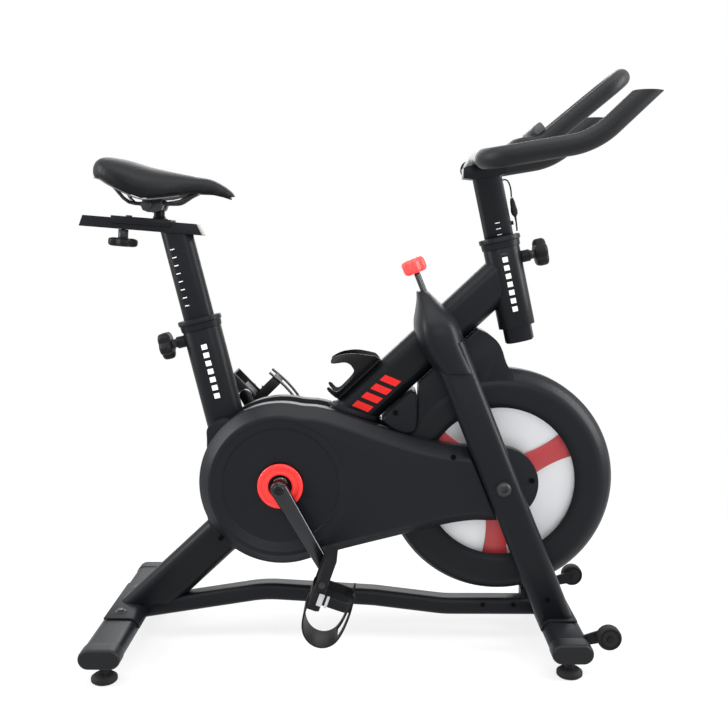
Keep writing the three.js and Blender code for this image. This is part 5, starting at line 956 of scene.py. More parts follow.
# Crown cover: two halves of black plastic, clipped together over the beam and the tops of the legs, and
# drawn up into a neck that guides the brake's rod.
CROWN_ROWS = ((0, -0.62, 0.62, 1), (0.17, -0.74, 0.61, 1), (0.38, -0.79, 0.6, 1), (0.58, -0.67, 0.63, 0.95),
              (0.75, -0.47, 0.51, 0.76), (0.89, -0.31, 0.28, 0.5), (1, -0.22, 0.13, 0.25))
CROWN_HALF = 93.4
CROWN_FOOT = 540
CROWN_TALL = 147
CROWN_WALL = 4.5


def between(rows, share):
    """Rows of values, the first the share, read smoothly at a share between them."""
    last = len(rows) - 2
    k = next((i for i in range(last + 1) if share <= rows[i + 1][0]), last)
    a, b = rows[k], rows[k + 1]
    before, after = rows[max(k - 1, 0)], rows[min(k + 2, len(rows) - 1)]
    wide = b[0] - a[0]
    t = min(max((share - a[0]) / wide, 0), 1)
    result = []
    for i in range(1, len(a)):
        slope_a = (b[i] - before[i]) / max(b[0] - before[0], 1e-6) * wide
        slope_b = (after[i] - a[i]) / max(after[0] - a[0], 1e-6) * wide
        result.append((2 * t ** 3 - 3 * t ** 2 + 1) * a[i] + (t ** 3 - 2 * t ** 2 + t) * slope_a
                      + (3 * t ** 2 - 2 * t ** 3) * b[i] + (t ** 3 - t ** 2) * slope_b)
    return result


def powered(value, power):
    return math.copysign(abs(value) ** (2 / power), value)


def crown_shape(inset, below, steps=26, sides=64):
    rings = []
    for r in range(steps + 1):
        share = r / steps
        rear, front, half = between(CROWN_ROWS, share)
        z = CROWN_FOOT + share * CROWN_TALL
        centre = crossing(WHEEL_AXLE, LEG_WAY, Vector((0, 0, z)), ALONG_X)
        if r == 0:
            centre = centre - LEG_WAY * below
        rear, front = rear * LEG_DEEP + inset, front * LEG_DEEP - inset
        middle, deep, half = (rear + front) / 2, (front - rear) / 2, half * CROWN_HALF - inset
        top = centre.z - (inset if r == steps else 0)
        rings.append([Vector((centre.x + middle + deep * powered(math.cos(t), 3.2),
                              half * powered(math.sin(t), 3.2), top))
                      for t in (math.tau * i / sides for i in range(sides))])
    return skin(rings)


crown = carved(crown_shape(0, 0), crown_shape(CROWN_WALL, 60),
               slab([(CRANK_AXLE.x, 280), (CRANK_AXLE.x, AXLE_HEIGHT), (beam_front.x, beam_front.z),
                     (beam_front.x, 280)], -47.5, 47.5),
               rod_hole(330, 440), box(0, 400, -0.2, 0.2, 500, 760))
piece("crown_cover", crown, cover_plastic, "frame", "cover_plastic", ["fork_cover_right", "fork_cover_left"],
      bevel=0.8)

# Bottle cage: a thin hook of matt black plastic, cut out of a cylinder round the bottle, on a pad that
# is screwed to the beam's upper face.
soft_plastic = coated("matt black moulding", (0.006, 0.0062, 0.007), 0.5, 800, 0.4, dust=0.03, gloss=0.14)
CAGE_RADIUS = 34
CAGE_WALL = 3.5
CAGE_LONG = 120
CAGE_AHEAD = 102
CAGE_SHARES = ((0.07, -0.1), (0.07, 0.44), (0.13, 0.44), (0.14, 0.16), (0.44, 0.175), (0.55, 0.22), (0.6, 0.31),
               (0.62, 0.47), (0.585, 0.61), (0.39, 0.81), (0.44, 0.9), (0.615, 0.82), (0.81, 0.58), (0.97, 0.24),
               (1, 0.17), (1, -0.1))


def cage_place(along, rise):
    lift = CAGE_AHEAD * math.tan(BEAM_SLOPE) + (BEAM_TALL / 2 + TOUCH_GAP) / math.cos(BEAM_SLOPE)
    return Vector((CRANK_AXLE.x + CAGE_AHEAD, 0, AXLE_HEIGHT + lift)) + BEAM_WAY * along + beam_side * rise


cage_wide = 2 * (CAGE_RADIUS + CAGE_WALL)
hook = softened([(a * CAGE_LONG, r * cage_wide) for a, r in CAGE_SHARES], 2, True, 0.2)
hook = slab([(p.x, p.z) for p in (cage_place(*point) for point in hook)], -80, 80)
cage_middle = [cage_place(along, cage_wide / 2) for along in (-5, CAGE_LONG + 5)]
cage_space = bar(*cage_middle, circle(CAGE_RADIUS, 72), beam_side)
cage_shell = carved(carved(bar(*cage_middle, circle(CAGE_RADIUS + CAGE_WALL, 72), beam_side), hook,
                           operation="INTERSECT"), cage_space)
cage_pad = carved(bar(cage_place(9, CAGE_WALL), cage_place(CAGE_LONG - 1, CAGE_WALL),
                      rounded_box(2 * CAGE_WALL, CAGE_RADIUS, 1.7), beam_side), cage_space)
piece("bottle_cage_hook", merged(cage_shell, cage_pad), soft_plastic, "frame", "soft_plastic", ["bottle_cage"],
      bevel=0.9, segments=3, angle=40)

# Screws: black steel heads with a hex socket, through the covers and into the legs and the rail. Their colour is
# darker than the steel: painted shade that stands for the sunk holes they sit in.
# One node tree sets them out on points, each along its own way.
SCREWS = (  # on the near side, and mirrored on the far side
    (167, 72.5, 381), (208, 52, 320), (197, 52, 264), (-273, 60, 220), (59, 44.2, 460), (318, 52, 331))


def screw_tree():
    """A cylinder with a hex socket bored into it, on each point, turned to the point's own way."""
    tree, given = new_group(
        "screws on points", (("Geometry", "Geometry"), ("Head Radius", "Float"), ("Head Height", "Float"),
                             ("Material", "Material")), (("Geometry", "Geometry"),), "GeometryNodeTree")
    radius, tall = given["Head Radius"], given["Head Height"]
    head = node(tree, "GeometryNodeMeshCylinder", {"Vertices": 28, "Radius": radius, "Depth": tall})
    hole = node(tree, "GeometryNodeMeshCylinder", {
        "Vertices": 6, "Radius": maths(tree, "MULTIPLY", radius, 0.52), "Depth": tall})
    offset = node(tree, "ShaderNodeCombineXYZ", {"Z": maths(tree, "MULTIPLY", tall, 0.45)})
    raised = node(tree, "GeometryNodeTransform", {"Geometry": hole.outputs["Mesh"],
                                                  "Translation": offset.outputs[0]})
    bored = node(tree, "GeometryNodeMeshBoolean", {"Mesh 1": head.outputs["Mesh"],
                                                   "Mesh 2": raised.outputs["Geometry"]}, operation="DIFFERENCE")
    way = node(tree, "GeometryNodeInputNamedAttribute", {"Name": "way"}, data_type="FLOAT_VECTOR")
    turn = node(tree, "FunctionNodeAlignRotationToVector", {"Vector": way.outputs["Attribute"]}, axis="Z")
    heads = node(tree, "GeometryNodeInstanceOnPoints", {
        "Points": given["Geometry"], "Instance": bored.outputs["Mesh"], "Rotation": turn.outputs["Rotation"]})
    real = node(tree, "GeometryNodeRealizeInstances", {"Geometry": heads.outputs["Instances"]})
    painted = node(tree, "GeometryNodeSetMaterial", {"Geometry": real.outputs["Geometry"],
                                                     "Material": given["Material"]})
    node(tree, "NodeGroupOutput", {"Geometry": painted.outputs["Geometry"]})
    return tree


SCREW_TREE = screw_tree()


def screws(name, places, radius, tall, finish, body="frame"):
    """Screw heads at places, each with the way its head faces."""
    mesh = bpy.data.meshes.new(name)
    mesh.from_pydata([((x + BOX_SHIFT) * MM, y * MM, z * MM) for (x, y, z), _ in places], [], [])
    ways = mesh.attributes.new("way", "FLOAT_VECTOR", "POINT")
    for i, (_, way) in enumerate(places):
        ways.data[i].vector = way
    made = placed(name, mesh)
    setting = made.modifiers.new("screws", "NODES")
    setting.node_group = SCREW_TREE
    values = {"Head Radius": radius * MM, "Head Height": tall * MM, "Material": finish}
    for item in SCREW_TREE.interface.items_tree:
        if item.name in values:
            setting[item.identifier] = values[item.name]
    worked_in(made)
    handed_over(made, body, "frame_paint", angle=30)


# Near-black painted shade on the heads stands for the shadow inside sunk holes round them; the covers have no such
# holes.
screws_painted_hole_shade = coated("black screws in sunk holes", (0.0012, 0.0012, 0.0014), 0.55, 500, 0.1, dust=0.0, gloss=0.06)
screws("cover_screws", [((x, way.y * y, z), way) for x, y, z in SCREWS for way in (NEAR, ALONG_Y)], 5.2, 3,
       screws_painted_hole_shade)
leg_screws = [((leg_line(110, -LEG_DEEP / 2), sign * (LEG_MIDDLE + LEG_WIDE / 2 + 0.4), 110), ALONG_Y * sign)
              for sign in (-1, 1)]
rail_screws = [((x, sign * (RAIL_WIDE / 2 + 0.2), 75), ALONG_Y * sign) for x in (232, 292) for sign in (-1, 1)]
screws("rail_and_leg_screws", leg_screws + rail_screws, 4.8, 3, screws_painted_hole_shade)

# Flywheel: a cast disc with a thick rim and a pale machined face, on a red three-spoked spider whose hub
# carries the belt's small pulley; its axle is bolted through both legs.
WHEEL_RADIUS = 205
RIM_HALF = 15
FACE_HALF = 10.5
SINK_RADIUS = 189
HUB_RADIUS = 30


def machined(name, colour, rough):
    """Turned metal: fine rings about the wheel's axle, raised a little."""
    material = coated(name, colour, rough, 300, 0.08, dust=0.04, metal=0.35)
    tree = material.node_tree
    place = node(tree, "ShaderNodeTexCoord").outputs["Object"]
    axle_away = (-(WHEEL_AXLE.x + BOX_SHIFT) * MM, 0, -WHEEL_AXLE.z * MM)
    moved = node(tree, "ShaderNodeMapping", {"Vector": place, "Location": axle_away}).outputs[0]
    flat = node(tree, "ShaderNodeVectorMath", {0: moved, 1: (1, 0, 1)}, operation="MULTIPLY").outputs[0]
    radius = node(tree, "ShaderNodeVectorMath", {0: flat}, operation="LENGTH").outputs["Value"]
    rings = node(tree, "ShaderNodeTexNoise", {"Scale": 900, "Detail": 2}, noise_dimensions="1D")
    fed(tree, rings, {"W": radius})
    raised = node(tree, "ShaderNodeBump", {
        "Strength": 0.12, "Distance": BUMP_DISTANCE, "Height": rings.outputs["Fac"]})
    fed(tree, tree.nodes["Principled BSDF"], {"Normal": raised.outputs[0]})
    return material


casting = machined("clear coated casting", (0.70, 0.71, 0.73), 0.36)
wheel_rows = [(-FACE_HALF, HUB_RADIUS + 0.3), (-FACE_HALF, SINK_RADIUS - 5), (-FACE_HALF - 0.6, SINK_RADIUS - 3.6),
              (-RIM_HALF + 0.6, SINK_RADIUS - 0.4), (-RIM_HALF, SINK_RADIUS + 0.6), (-RIM_HALF, WHEEL_RADIUS - 2),
              (-RIM_HALF + 0.6, WHEEL_RADIUS - 0.6), (-RIM_HALF + 2, WHEEL_RADIUS)]
wheel_rows += [(-along, radius) for along, radius in wheel_rows[::-1]]
piece("cast_flywheel", turned(WHEEL_AXLE, ALONG_Y, wheel_rows, 160, looped=True), casting, "wheel",
      "wheel_casting", ["flywheel"])
SPOKE_HALF = 19
SPOKE_FACE = FACE_HALF + 4.3
SPOKES = ((0.16, 1.9), (0.3, 1.25), (0.5, 1), (0.72, 1.1), (0.9, 1.55), (0.98, 1.9))


def spoke(angle, sign):
    way = Vector((math.cos(angle), 0, math.sin(angle)))
    reach = SINK_RADIUS - 6
    edges = []
    for s in (-1, 1):
        places = [WHEEL_AXLE + way * (a * reach) - square(way) * (s * w * SPOKE_HALF) for a, w in SPOKES]
        edges.append([(p.x, p.z) for p in places])
    return slab(softened(edges[0], 2) + softened(edges[1][::-1], 2), sign * (FACE_HALF + TOUCH_GAP),
                sign * SPOKE_FACE)


spoke_red = coated("satin red spokes", (0.42, 0.028, 0.035), 0.42, 400, 0.1)
star = merged(*[spoke(math.radians(28 + 120 * i), sign) for i in range(3) for sign in (-1, 1)],
              *[turned(WHEEL_AXLE, ALONG_Y * sign, [
                  (FACE_HALF + TOUCH_GAP, 48), (SPOKE_FACE - 0.3, 48), (SPOKE_FACE, 47.5), (SPOKE_FACE, 9.1),
                  (FACE_HALF + TOUCH_GAP, 9.1)], 64, looped=True) for sign in (-1, 1)])
piece("red_spokes", star, spoke_red, "wheel", "spoke_paint", bevel=1.0)
hub = turned(WHEEL_AXLE, ALONG_Y, [(-48, 9.1), (-48, 25), (-47, 26), (-43, 26), (-42, 25), (-42, 17), (-19, 17),
                                   (-19, 29), (-18, HUB_RADIUS), (18, HUB_RADIUS), (19, 29), (19, 17), (45, 17),
                                   (45, 9.1)], 56, looped=True)
bright_steel = coated("plated steel", (0.55, 0.55, 0.56), 0.25, 500, 0.08, dust=0.04, metal=1.0)
piece("wheel_hub", hub, dark_bolt, "wheel", "spoke_paint", ["flywheel_spider"], bevel=0.4)
nut = [(0, 14), (2.6, 14), (2.7, 12.4), (6.4, 12), (8.2, 10), (9, 6.8), (8.6, 5.6), (4.5, 5.2), (4.5, 0.1)]
axle = merged(turned(WHEEL_AXLE, ALONG_Y, [(-88.4, 8.5), (88.4, 8.5)], 32),
              *[turned(WHEEL_AXLE + ALONG_Y * (sign * 88.3), ALONG_Y * sign, nut, 48) for sign in (-1, 1)])
piece("wheel_axle_and_nuts", axle, dark_bolt, "frame", "bare_steel", ["flywheel_axle"])

# Belt drive inside the covers: a steel spindle pressed into its large pulley, the bearing sleeve welded
# into the beam, and one flat rubber belt to the wheel's hub.
pulley = turned(CRANK_AXLE, NEAR, [
    (41.3, 9), (41.3, 18), (43.5, 18), (43.5, 89), (42, 89), (42, 98), (48, 98), (48, 89), (46.5, 89), (46.5, 18),
    (48.7, 18), (48.7, 9)], 96, looped=True)
piece("spindle_and_pulley", merged(turned(CRANK_AXLE, NEAR, [(-79.7, 9), (79.7, 9)], 40), pulley), bright_steel,
      "crank", "bare_steel", ["crank_spindle"], bevel=0.3)
dressed("bottom_bracket", dark_bolt, "frame", "bare_steel", bevel=0.3)
dressed("drive_belt", rubber, "frame", "black_rubber", bevel=0)

# Cranks: forged tapered arms, plated black and wedged on the spindle, each with a plastic dust cap and
# the steel axle that carries its pedal.
CRANK_WAY = Vector((math.cos(math.radians(-60.4)), 0, math.sin(math.radians(-60.4))))
CRANK_LONG = 170
polished = coated("black plated steel", (0.045, 0.046, 0.05), 0.22, 350, 0.08, dust=0.02, metal=1.0)


def arm_outline(way, boss, eye):
    heading = math.atan2(way.z, way.x)
    end = CRANK_AXLE + way * CRANK_LONG

    def half(centre, radius, first):
        turns = [heading + first + math.pi * i / 24 for i in range(25)]
        return [(centre.x + radius * math.cos(t), centre.z + radius * math.sin(t)) for t in turns]
    return half(CRANK_AXLE, boss, math.pi / 2) + half(end, eye, -math.pi / 2)


def crank_arm(way, sign):
    rows = ((84.8, 14.6, 10.8), (86.2, 15.7, 11.7), (88, 16, 12), (97, 16, 12), (99.4, 15, 11), (100.8, 12.8, 9))
    body = skin([[Vector((x, sign * y, z)) for x, z in arm_outline(way, boss, eye)] for y, boss, eye in rows])
    end = CRANK_AXLE + way * CRANK_LONG
    out = ALONG_Y * sign
    boss = turned(CRANK_AXLE, out, [(80, 15), (81, 16), (89, 16), (100.8, 10.4), (103, 9.9), (103.6, 9.2)], 48)
    pin = turned(end, out, [(92, 9.75), (111.7, 9.75), (111.8, 6.5), (196, 6.5)], 32)
    return merged(body, boss, pin)


for side, sign in SIDES:
    way = CRANK_WAY * -sign
    piece(f"{side}_crank_arm", crank_arm(way, sign), polished, "crank", "bare_steel", [f"crank_arm_{side}"],
          bevel=0.4)
    dust_cap = turned(CRANK_AXLE, ALONG_Y * sign, [
        (102.8, 8.6), (104, 8.6), (104.4, 7.8), (104.4, 4), (103.8, 3.2), (103.8, 0.1)], 40)
    piece(f"{side}_dust_cap", dust_cap, soft_plastic, "crank", "soft_plastic")

# Pedals: caged platforms of matt black plastic on the cranks' axles. Each has a moulded toe cup screwed
# to its front and a strap round both, closed by a bright steel buckle.
PEDAL_LONG = 96
PEDAL_THICK = 22
PEDAL_WIDE = 84
PEDAL_INNER = 112
TOE_REACH = 66
TOE_TALL = 62
TOE_WALL = 3
TOE_WIDE = 74
TOE_SHARES = ((0, -0.2), (0.45, -0.18), (0.8, -0.02), (1, 0.28), (1, 0.62), (0.8, 0.9), (0.45, 1.02),
              (-0.15, 1.06), (-0.75, 1))
STRAP_WIDE = 18
STRAP_ALONG = PEDAL_LONG / 2 * 0.52
RIGHT_REST, LEFT_REST = -109.5, -46  # degrees that each toe points up from straight ahead


def pedal_frame(centre, angle, sign):
    toe = Vector((math.cos(math.radians(angle)), 0, math.sin(math.radians(angle))))
    up = Vector((-toe.z, 0, toe.x))

    def place(along, across, rise):
        return centre + ALONG_Y * (sign * (PEDAL_INNER + across)) + toe * along + up * rise
    return place


def strip(places, section):
    """A moulded strip that follows places in a plane across the pedal's axle."""
    rings = []
    for i, middle in enumerate(places):
        way = (places[min(i + 1, len(places) - 1)] - places[max(i - 1, 0)]).normalized()
        rings.append(ring_at(middle, square(way), ALONG_Y, section))
    return skin(rings)


def toe_cup(place):
    half, middle = PEDAL_LONG / 2, PEDAL_WIDE / 2
    seat = half + TOUCH_GAP + TOE_WALL / 2
    line = softened([(seat + a * (TOE_REACH - TOE_WALL), r * TOE_TALL) for a, r in TOE_SHARES], 3)
    cup = strip([place(a, middle, r) for a, r in line], rounded_box(TOE_WALL, TOE_WIDE, 1.4, 4))
    hole = skin([ring_at(place(along, middle, 0.7 * TOE_TALL), ALONG_Y, place(0, 0, 1) - place(0, 0, 0),
                         [(a, b + 18) for a, b in rounded_box(41, 40, 16)]) for along in (-half, half * 1.9)])
    lower = strip([place(seat, middle, -0.2 * TOE_TALL - TOE_WALL / 2), place(seat, middle, PEDAL_THICK * 0.3)],
                  rounded_box(TOE_WALL, TOE_WIDE, 1.4, 4))
    return merged(carved(cup, hole), lower)


def strap(place):
    """A closed band under the platform and over the toe cup's open end."""
    low, top = -PEDAL_THICK / 2 - 2.3, TOE_TALL * 1.04
    corners = softened([(-1.3, low + 1), (PEDAL_WIDE + 1.3, low + 1), (PEDAL_WIDE + 1.3, top - 12),
                        (PEDAL_WIDE - 8, top - 1), (8, top - 1), (-1.3, top - 12)], 2, True, 0.12)
    way = place(1, 0, 0) - place(0, 0, 0)
    rings = []
    for i, (across, rise) in enumerate(corners):
        before, after = corners[i - 1], corners[(i + 1) % len(corners)]
        run = place(0, *after) - place(0, *before)
        rings.append(ring_at(place(STRAP_ALONG, across, rise), run.cross(way).normalized(), way,
                             rounded_box(2, STRAP_WIDE, 0.8, 3)))
    return skin(rings, looped=True)


def buckle(place):
    plates = []
    for rise, tall in ((6, 10), (18, 5)):
        ring = [place(STRAP_ALONG + a, PEDAL_WIDE + 2.4, rise + b)
                for a, b in rounded_box(STRAP_WIDE + 5, tall, 1.5, 3)]
        out = place(0, 1.6, 0) - place(0, 0, 0)
        plates.append(skin([ring, [p + out for p in ring]]))
    return merged(*plates)


for side, sign, rest in (("right", -1, RIGHT_REST), ("left", 1, LEFT_REST)):
    place = pedal_frame(CRANK_AXLE - CRANK_WAY * (sign * CRANK_LONG), rest, sign)
    body = side + "_pedal"
    dressed("pedal_" + side, soft_plastic, body, "soft_plastic", bevel=0.7)
    piece(f"{side}_toe_cup_and_strap", merged(toe_cup(place), strap(place)), soft_plastic, body, "soft_plastic",
          ["toe_cage_" + side], bevel=0.3, angle=40)
    piece(f"{side}_strap_buckle", buckle(place), bright_steel, body, "bare_steel", bevel=0.3)

# Brake: a dark plated rod, guided by the crown and the beam, with its block over the rim. A red lobed
# plastic knob is screwed on its top.
chrome = coated("chromed rod", (0.06, 0.06, 0.065), 0.2, 300, 0.03, dust=0.02, metal=1.0, spread=0.03)
KNOB_FOOT = 429


def lobed_knob(foot, way, radius, tall, lobes=5, share=0.2, sides=96):
    """A round knob with lobes that stand out by a share of its radius."""
    side = way.orthogonal().normalized() if way.y else square(way)
    across = way.cross(side)
    rings = []
    for height, reach in KNOB_ROWS:
        section = []
        for i in range(sides):
            angle = math.tau * i / sides
            wave = (1 + math.cos(lobes * angle)) / 2
            length = radius * reach * (1 - share * wave ** 2)
            section.append((length * math.cos(angle), length * math.sin(angle)))
        rings.append(ring_at(foot + way * (height * tall), side, across, section))
    return skin(rings)


KNOB_ROWS = ((0, 0.74), (0.03, 0.82), (0.1, 0.93), (0.2, 0.985), (0.35, 1), (0.7, 0.995), (0.84, 0.96),
             (0.93, 0.89), (0.98, 0.79), (1, 0.7), (0.985, 0.5), (0.96, 0.3), (0.955, 0.02))
red_knob = coated("red knob moulding", (0.9, 0.055, 0.05), 0.38, 500, 0.1, dust=0.02, gloss=0.5)
piece("red_brake_knob", lobed_knob(WHEEL_AXLE + LEG_WAY * KNOB_FOOT, LEG_WAY, 24, 28, 6, 0.14), red_knob,
      "brake_dial", "red_plastic", ["brake_knob"])
rod_start, rod_end = WHEEL_AXLE + LEG_WAY * 221, WHEEL_AXLE + LEG_WAY * (KNOB_FOOT - 0.3)
brake_rod = merged(bar(rod_start, rod_end, circle(ROD_RADIUS, 40), ALONG_X),
                   bar(WHEEL_AXLE + LEG_WAY * 216, WHEEL_AXLE + LEG_WAY * 230, rounded_box(44, 26, 4),
                       square(LEG_WAY)))
piece("brake_rod_and_block", brake_rod, chrome, "brake", "bare_steel", ["brake_rod"], bevel=0.4)

# Seat post: an oval steel tube with white height marks, powder coated and welded to the slotted rail
# under the saddle. The rail has a lighter cap edge at both ends and a small stop clip on top.
RAIL_HIGH = 20.5
RAIL_ACROSS = 42
RAIL_SLOPE = math.radians(-4.6)
RAIL_MIDDLE = Vector((-353, 0, 806))
RAIL_WAY = Vector((math.cos(RAIL_SLOPE), 0, math.sin(RAIL_SLOPE)))
RAIL_UP = -square(RAIL_WAY)


def on_rail(x, rise):
    return RAIL_MIDDLE + RAIL_WAY * (x - RAIL_MIDDLE.x) + RAIL_UP * rise


half_high = RAIL_HIGH / 2
rail_outline = [(p.x, p.z) for p in (on_rail(-534.5, -half_high), on_rail(-302.5, -half_high),
                                    on_rail(-314.5, half_high), on_rail(-528.5, half_high))]
rail_slot = skin([ring_at(on_rail(-460, rise), RAIL_WAY, ALONG_Y, oval(96, 9.2)) for rise in (-30, 30)])
post_top = crossing(SEAT_MOUTH, SEAT_WAY, RAIL_MIDDLE, RAIL_WAY)
post_coat = printed(powder_coat, "seat post coat with marks", (0.78, 0.78, 0.78),
                    post_top - SEAT_WAY * 148 - square(SEAT_WAY) * 13, SEAT_WAY, square(SEAT_WAY),
                    (116, 4.2, 15.5), (0.11, 0))
seat_rail = carved(slab(rail_outline, -RAIL_ACROSS / 2, RAIL_ACROSS / 2), rail_slot)
piece("seat_post_and_rail", merged(seat_rail, bar(post_top - SEAT_WAY * 355, post_top, oval(*SEAT_POST),
                                                  square(SEAT_WAY))), post_coat, "seat_mast", "frame_paint",
      ["seat_post"], bevel=1.2, segments=3)
end_grey = coated("light edged end cap", (0.16, 0.165, 0.17), 0.4, 500, 0.1)
ends = merged(*[bar(on_rail(x - 0.8, -half_high + 1.5), on_rail(x + 0.8, -half_high + 1.5), rounded_box(3, 38, 1),
                    RAIL_UP) for x in (-532.2, -305.4)])
piece("rail_end_edges", ends, end_grey, "seat_mast", "frame_paint")
stop_clip = bar(on_rail(-366, half_high + 0.2), on_rail(-366, half_high + 3.4), rounded_box(5, 26, 1.2), RAIL_WAY)
piece("rail_stop_clip", stop_clip, bright_steel, "seat_mast", "bare_steel", bevel=0.4)

# Seat carriage: a bent steel channel over the rail, powder coated, with the round stem that the saddle's
# clamp takes. A bolt holds the stem, and the knob below pulls the channel down on the rail.
dressed("seat_carriage", powder_coat, "carriage", "frame_paint", bevel=0.6)
screws("carriage_bolts", [(tuple(on_rail(-446, half_high + 4.2)), RAIL_UP)], 6, 4, dark_bolt, "carriage")

# Knobs: lobed heads of matt black plastic on dark steel stems. Two are screwed into the bosses of the
# tubes and lock the posts, the third is under the rail and clamps the carriage.
def pop_knob(pin, way, tube_deep, post_deep):
    boss_end = tube_deep / 2 + BOSS_LONG
    head = boss_end + TOUCH_GAP + 9
    pin_start, collar_start = pin + way * (post_deep / 2 + TOUCH_GAP), pin + way * (boss_end + TOUCH_GAP)
    stem = merged(bar(pin_start, pin + way * (head + 4), circle(PIN_RADIUS, 32), ALONG_Y),
                  turned(collar_start, way, [(0, 9.5), (1, 9.5), (2, 8.6), (7, 8.6), (13, 8.6)], 40))
    return stem, lobed_knob(pin + way * head, way, 27, 24)


for end, pin, way, tube, post in (
        ("seat", SEAT_MOUTH - SEAT_WAY * SEAT_PIN_DROP, SEAT_OUT, SEAT_TUBE, SEAT_POST),
        ("bar", HEAD_MOUTH - HEAD_WAY * HEAD_PIN_DROP, HEAD_OUT, HEAD_TUBE, BAR_POST)):
    stem, head = pop_knob(pin, way, tube[0], post[0])
    piece(f"{end}_pin_knob", head, soft_plastic, end + "_pin", "soft_plastic", [end + "_knob"])
    piece(f"{end}_pin_knob_stem", stem, dark_bolt, end + "_pin", "bare_steel", bevel=0.3)
slider_foot = on_rail(-455, -half_high - 0.6)
slider_end = slider_foot - RAIL_UP * 16
slider_stem = merged(bar(on_rail(-455, half_high + 0.3), slider_end, circle(4, 32), RAIL_WAY),
                     bar(slider_foot, slider_end - RAIL_UP * 4, circle(9.5, 40), RAIL_WAY))
piece("slider_knob_stem", slider_stem, dark_bolt, "slider_screw", "bare_steel", bevel=0.6)
piece("slider_knob_head", lobed_knob(slider_end, -RAIL_UP, 28, 16), soft_plastic, "slider_screw", "soft_plastic",
      ["slider_knob"])

# Saddle: a foam cushion in smooth synthetic leather, glued over a moulded shell with a bright lower edge,
# on bent steel wires held by the clamp. A cloth simulation with air pressure swells the cushion a little.
SADDLE_TAIL, SADDLE_LONG, SADDLE_HALF = -502, 259, 95
SADDLE_LOW, SADDLE_TALL = 855, 84
SADDLE_ROWS = (
    (0, 0.3, 0.67, 0.52), (0.03, 0.62, 0.9, 0.49), (0.08, 0.83, 0.99, 0.45), (0.16, 0.95, 0.975, 0.32),
    (0.27, 1, 0.9, 0.15), (0.38, 0.95, 0.78, 0.02), (0.5, 0.76, 0.685, 0.04), (0.62, 0.53, 0.615, 0.1),
    (0.73, 0.38, 0.56, 0.15), (0.83, 0.31, 0.515, 0.13), (0.91, 0.27, 0.4, 0.085), (0.97, 0.2, 0.27, 0.06),
    (1, 0.1, 0.17, 0.05))
ARCH = 0.42


def saddle_ring(share, shrink=0.0, over=44, under=20):
    half, top, low = between(SADDLE_ROWS, share)
    x = SADDLE_TAIL + share * SADDLE_LONG
    low = SADDLE_LOW + low * SADDLE_TALL
    half = max(half * SADDLE_HALF - shrink, 4)
    top = max(SADDLE_LOW + top * SADDLE_TALL - shrink, low + 3)
    waist = low + 0.3 * (top - low)
    ring = [Vector((x, half * powered(math.cos(t), 2.5), waist + (top - waist) * powered(math.sin(t), 2.5)))
            for t in (math.pi * i / over for i in range(over + 1))]
    for i in range(under + 1):
        across = half * 0.93 * (2 * i / under - 1)
        ring.append(Vector((x, across, low + ARCH * (top - low) * max(1 - (across / half) ** 2, 0))))
    return ring


skin_black = coated("smooth synthetic leather", (0.005, 0.0055, 0.0066), 0.46, 520, 0.35, gloss=0.14, dust=0.02)
SHRINK = 2.5
stations = [0, 0.008, 0.018, 0.03, 0.05] + [0.08 + 0.92 * i / 46 for i in range(46)] + [0.99, 1]
cushion = skin([saddle_ring(share, SHRINK) for share in sorted(set(stations))])
cushion_piece = placed("saddle_cushion_finished", mesh_of("saddle_cushion_finished", cushion))
cushion_piece.data.materials.append(skin_black)


def swelled(soft, pressure, cap, frames=20, voxel=0.0045):
    """Padding: an even mesh, inflated as cloth, no point moving farther than the cap."""
    even = soft.modifiers.new("even", "REMESH")
    even.mode = "VOXEL"
    even.voxel_size = voxel
    worked_in(soft)
    start = [v.co.copy() for v in soft.data.vertices]
    low = min(p.z for p in start)
    held = soft.vertex_groups.new(name="held")
    normals = [v.normal.copy() for v in soft.data.vertices]
    held.add([i for i, n in enumerate(normals) if n.z < -0.2 or start[i].z < low + 0.004], 1.0, "REPLACE")
    cloth = soft.modifiers.new("skin", "CLOTH")
    cloth.settings.use_pressure = True
    cloth.settings.uniform_pressure_force = pressure
    cloth.settings.effector_weights.gravity = 0
    cloth.settings.vertex_group_mass = "held"
    cloth.settings.quality = 6
    cloth.settings.tension_stiffness = 20
    cloth.settings.compression_stiffness = 20
    for frame_number in range(1, frames + 1):
        bpy.context.scene.frame_set(frame_number)
    shaped = soft.evaluated_get(bpy.context.evaluated_depsgraph_get())
    moved = [v.co.copy() for v in shaped.data.vertices]
    soft.modifiers.clear()
    soft.vertex_groups.clear()
    for vertex, old, new in zip(soft.data.vertices, start, moved):
        step = new - old
        vertex.co = old + (step * (cap / step.length) if step.length > cap else step)
    bpy.context.scene.frame_set(1)


swelled(cushion_piece, 4, 0.005)
finer = cushion_piece.modifiers.new("finer", "SUBSURF")
finer.levels = 1
finer.render_levels = 1
worked_in(cushion_piece)
cushion_piece.data.shade_smooth()
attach(cushion_piece, "saddle")
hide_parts("saddle_cushion")


def lip_bead():
    """The shell's bright lower edge round one flank, from the tail on."""
    places = []
    for share in (0.62 - 0.6 * i / 30 for i in range(31)):
        half, _, low = between(SADDLE_ROWS, share)
        places.append(Vector((SADDLE_TAIL + share * SADDLE_LONG + 2, half * SADDLE_HALF * 0.945,
                              SADDLE_LOW + low * SADDLE_TALL + 0.2)))
    return places


def tube_along(places, radius, sides=16):
    first = ALONG_Z
    rings = []
    for i, place in enumerate(places):
        way = (places[min(i + 1, len(places) - 1)] - places[max(i - 1, 0)]).normalized()
        first, second = square_to(way, first)
        rings.append(ring_at(place, first, second, circle(radius, sides)))
    return skin(rings)


